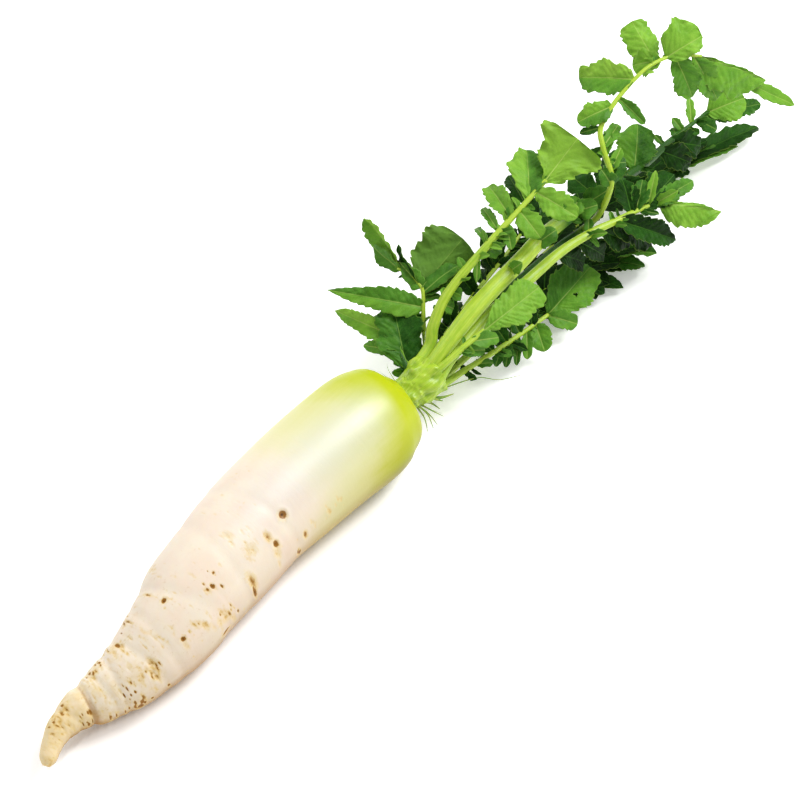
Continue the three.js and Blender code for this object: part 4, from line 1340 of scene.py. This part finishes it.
# ---- Leaf under the bunch ----
# A leaf that lies under the thick stalks, shaded by all the others, its blades made dark with painted
# shade.
# Stalk and blades are one grown piece.

grow_leaf(
    "leaf_under",
    8,
    [(131, -6.5, 29.5), (164, 2, 26), (212, 12, 22), (250, 16, 22), (277, 19, 24)],
    (1.7, 2, 1.1),
    [
        (1, (308, 20, 28), 22, 0.08, 0.2, 3, dict(shape=END_BLADE)),
        (0.82, (256, 33, 34), 17, 0.08),
        (0.8, (264, 4, 20), 14, 0.08),
        (0.6, (219, 31, 34), 16, 0.08),
        (0.57, (226, 0, 22), 13, 0.08),
        (0.38, (196, 20, 36), 13, 0.08),
        (0.35, (190, -3, 30), 10, 0.08),
    ],
    lobes=(40, 0.15, 17, 0.5),
    light_and_tone=0.08,
)

# ---- Far leaf near the surface ----
# A long low leaf, which reaches the furthest of all. The real one lies along the surface, and this one
# hangs just above it. Stalk and blades are one grown piece.

grow_leaf(
    "leaf_floor_far",
    9,
    [(131, -12.5, 29.5), (168, -4, 20), (231, 2, 12), (301, 3, 9), (361, -4, 8), (397, -14, 8)],
    (2.2, 2.7, 1.4),
    [
        (1, (474, -43, 9), 19, 0.16, 0.3, 2, dict(shape=(0.5, 0.4), tilt=0.06)),
        (0.99, (450, -42, 8), 13, 0.5, 0.3, 2, dict(shape=LONG_BLADE)),
        (0.95, (436, -25, 14), 18, 0.06),
        (0.9, (418, -13, 12), 16, 0.04),
        (0.88, (411, -28, 6), 15, 0.06),
        (0.82, (374, 15, 12), 17, 0.04),
        (0.66, (322, 21, 13), 16, 0.02),
        (0.7, (338, -5, 15), 20, 0.0),
        (0.6, (315, 4, 15), 18, 0.0),
        (0.78, (362, -16, 14), 20, 0.0),
        (0.5, (280, 21, 15), 17, 0.02),
    ],
    lobes=(20, 0.3, 15, 0.4),
    face=SKY,
    light_and_tone=0.08,
)

# ---- Right leaf near the surface ----
# A leaf with wavy folded blades beside the bunch. The real one lies on the surface, and this one hangs
# just above it. Stalk and blades are one grown piece.

grow_leaf(
    "leaf_floor_right",
    10,
    [(131, -18.5, 29), (162, -12, 18), (215, -12, 10), (272, -17, 8), (310, -29, 7)],
    (2.1, 2.5, 1.3),
    [
        (1, (330, -54, 9), 17, 0.4, 0.6, 2, dict(tilt=-0.12)),
        (0.94, (318, -53, 6), 17, 0.3),
        (0.82, (294, -52, 5), 13, 0.14),
        # A dark blade on the surface that stands for the shadow under the wavy blades: painted shadow.
        (0.88, (316, -51, 5), 12, 0.02),
        (0.86, (306, -41, 12), 16, 0.0),
        (0.74, (293, -27, 14), 20, 0.0),
        (0.66, (266, -38, 8), 14, 0.0),
        (0.66, (258, -27, 8), 15, 0.02),
        (0.9, (334, -38, 8), 24, 0.0),
        (0.84, (288, -45, 9), 18, 0.0),
        (0.8, (279, -47, 9), 20, 0.06),
        (0.86, (274, -44, 6), 16, 0.04),
        (0.6, (244, -33, 7), 15, 0.0),
        (0.5, (228, -18, 7), 17, 0.02),
        (0.42, (205, -21, 7), 14, 0.02),
        (0.7, (283, 2, 12), 16, 0.0),
    ],
    lobes=(20, 0.3, 14, 0.4),
    face=SKY,
    light_and_tone=0.08,
)

# ---- Surface, light and camera ----
# A plain white surface under two soft lamps high up, the stronger one at the leaves' end, with white
# all round, as for a picture of food on its own. The surface glows a little, but not close under the
# root, so that a painted contact shadow lies there. The camera looks down from the side of the tail.

FLOOR_SIZE = 12.0
FINE_X = (-0.21, 0.12, 0.005)  # start, end and step of the finer squares under the root
FINE_Y = (-0.045, 0.045, 0.0015)
ROOM_LIGHT = 0.66
CAMERA_TARGET = (0.115, -0.009, 0.036)
CAMERA_DISTANCE = 1.35
CAMERA_ELEVATION = math.radians(50)
CAMERA_TURN = math.radians(37.5)  # from +X toward +Y
CAMERA_LENS = 100
FILM_WIDTH = 36
OFF_LEFT = 0.0024  # the camera stands this far left of the line to its target, and this far below it
OFF_DOWN = 0.0043


def plain_floor():
    """A white matt surface that glows a little, but not close under the root, which paints a darker contact
    shadow there.
    """
    floor = Finish("white_surface")
    glow = floor.mix(floor.field("clear"), (0, 0, 0, 1), (1, 0.99, 0.98, 1))
    shader = {
        "Base Color": (0.98, 0.98, 0.98, 1),
        "Roughness": 0.85,
        "Specular IOR Level": 0.1,
        "Emission Color": glow,
        "Emission Strength": 0.24,
    }
    return floor.close(floor.surface(shader))


floor_rim = [-FLOOR_SIZE / 2, FLOOR_SIZE / 2]
floor_x = np.sort(np.append(np.arange(*FINE_X), floor_rim))
floor_y = np.sort(np.append(np.arange(*FINE_Y), floor_rim))
floor_x, floor_y = np.meshgrid(floor_x, floor_y, indexing="ij")
# painted contact shadow: the surface's glow is taken away within most of the root's width and returns just
# beyond it
root_over = np.interp(floor_x, ROOT_X * MM, ROOT_RADIUS * MM, 0, 0)
aside = abs(floor_y - np.interp(floor_x, ROOT_X * MM, ROOT_Y * MM))
clear = np.clip((aside - 0.6 * root_over) / np.maximum(0.2 * root_over, MM), 0, 1)
corner = np.arange(floor_x.size).reshape(floor_x.shape)
squares = np.stack([corner[:-1, :-1], corner[1:, :-1], corner[1:, 1:], corner[:-1, 1:]], -1)
floor_points = np.stack([floor_x, floor_y, floor_x * 0], -1)
floor_mesh = bpy.data.meshes.new("surface")
floor_mesh.from_pydata(floor_points.reshape(-1, 3).tolist(), [], squares.reshape(-1, 4).tolist())
clear_field = floor_mesh.attributes.new("clear", "FLOAT", "POINT")
clear_field.data.foreach_set("value", clear.astype(np.float32).ravel())
floor_mesh.materials.append(plain_floor())
floor = bpy.data.objects.new("surface", floor_mesh)
bpy.context.scene.collection.objects.link(floor)


def stand(thing, place, aim):
    """Puts a lamp or the camera at its place, facing along its aim."""
    thing.location = place
    thing.rotation_mode = "QUATERNION"
    thing.rotation_quaternion = Vector(aim).to_track_quat("-Z", "Y")
    bpy.context.scene.collection.objects.link(thing)


def lamp(name, place, target, size, power):
    """A white soft lamp with straight sides, which faces its target."""
    light = bpy.data.lights.new(name, "AREA")
    light.shape = "RECTANGLE"
    light.size, light.size_y = size
    light.energy = power
    stand(bpy.data.objects.new(name, light), place, np.array(target, float) - np.array(place, float))


lamp("key_lamp", (0.88, -0.36, 1.18), (0.06, 0, 0.05), (0.55, 0.8), 20)
lamp("fill_lamp", (-0.1, 1.3, 1.2), (0.05, 0, 0), (1.2, 1.0), 8)

world = bpy.data.worlds.new("white_room")
world.use_nodes = True
room = world.node_tree.nodes["Background"].inputs
room["Color"].default_value = (1, 1, 1, 1)
room["Strength"].default_value = ROOM_LIGHT
bpy.context.scene.world = world
bpy.context.scene.view_settings.view_transform = "Standard"

level_reach = math.cos(CAMERA_ELEVATION)
look_x = math.cos(CAMERA_TURN) * level_reach
look_y = math.sin(CAMERA_TURN) * level_reach
look = Vector((look_x, look_y, -math.sin(CAMERA_ELEVATION)))
camera_right = Vector((math.sin(CAMERA_TURN), -math.cos(CAMERA_TURN), 0))
camera_up = camera_right.cross(look)
camera = bpy.data.objects.new("camera", bpy.data.cameras.new("camera"))
camera.data.lens = CAMERA_LENS
camera.data.sensor_width = FILM_WIDTH
off_line = camera_right * OFF_LEFT + camera_up * OFF_DOWN
stand(camera, Vector(CAMERA_TARGET) - look * CAMERA_DISTANCE - off_line, look)
bpy.context.scene.camera = camera
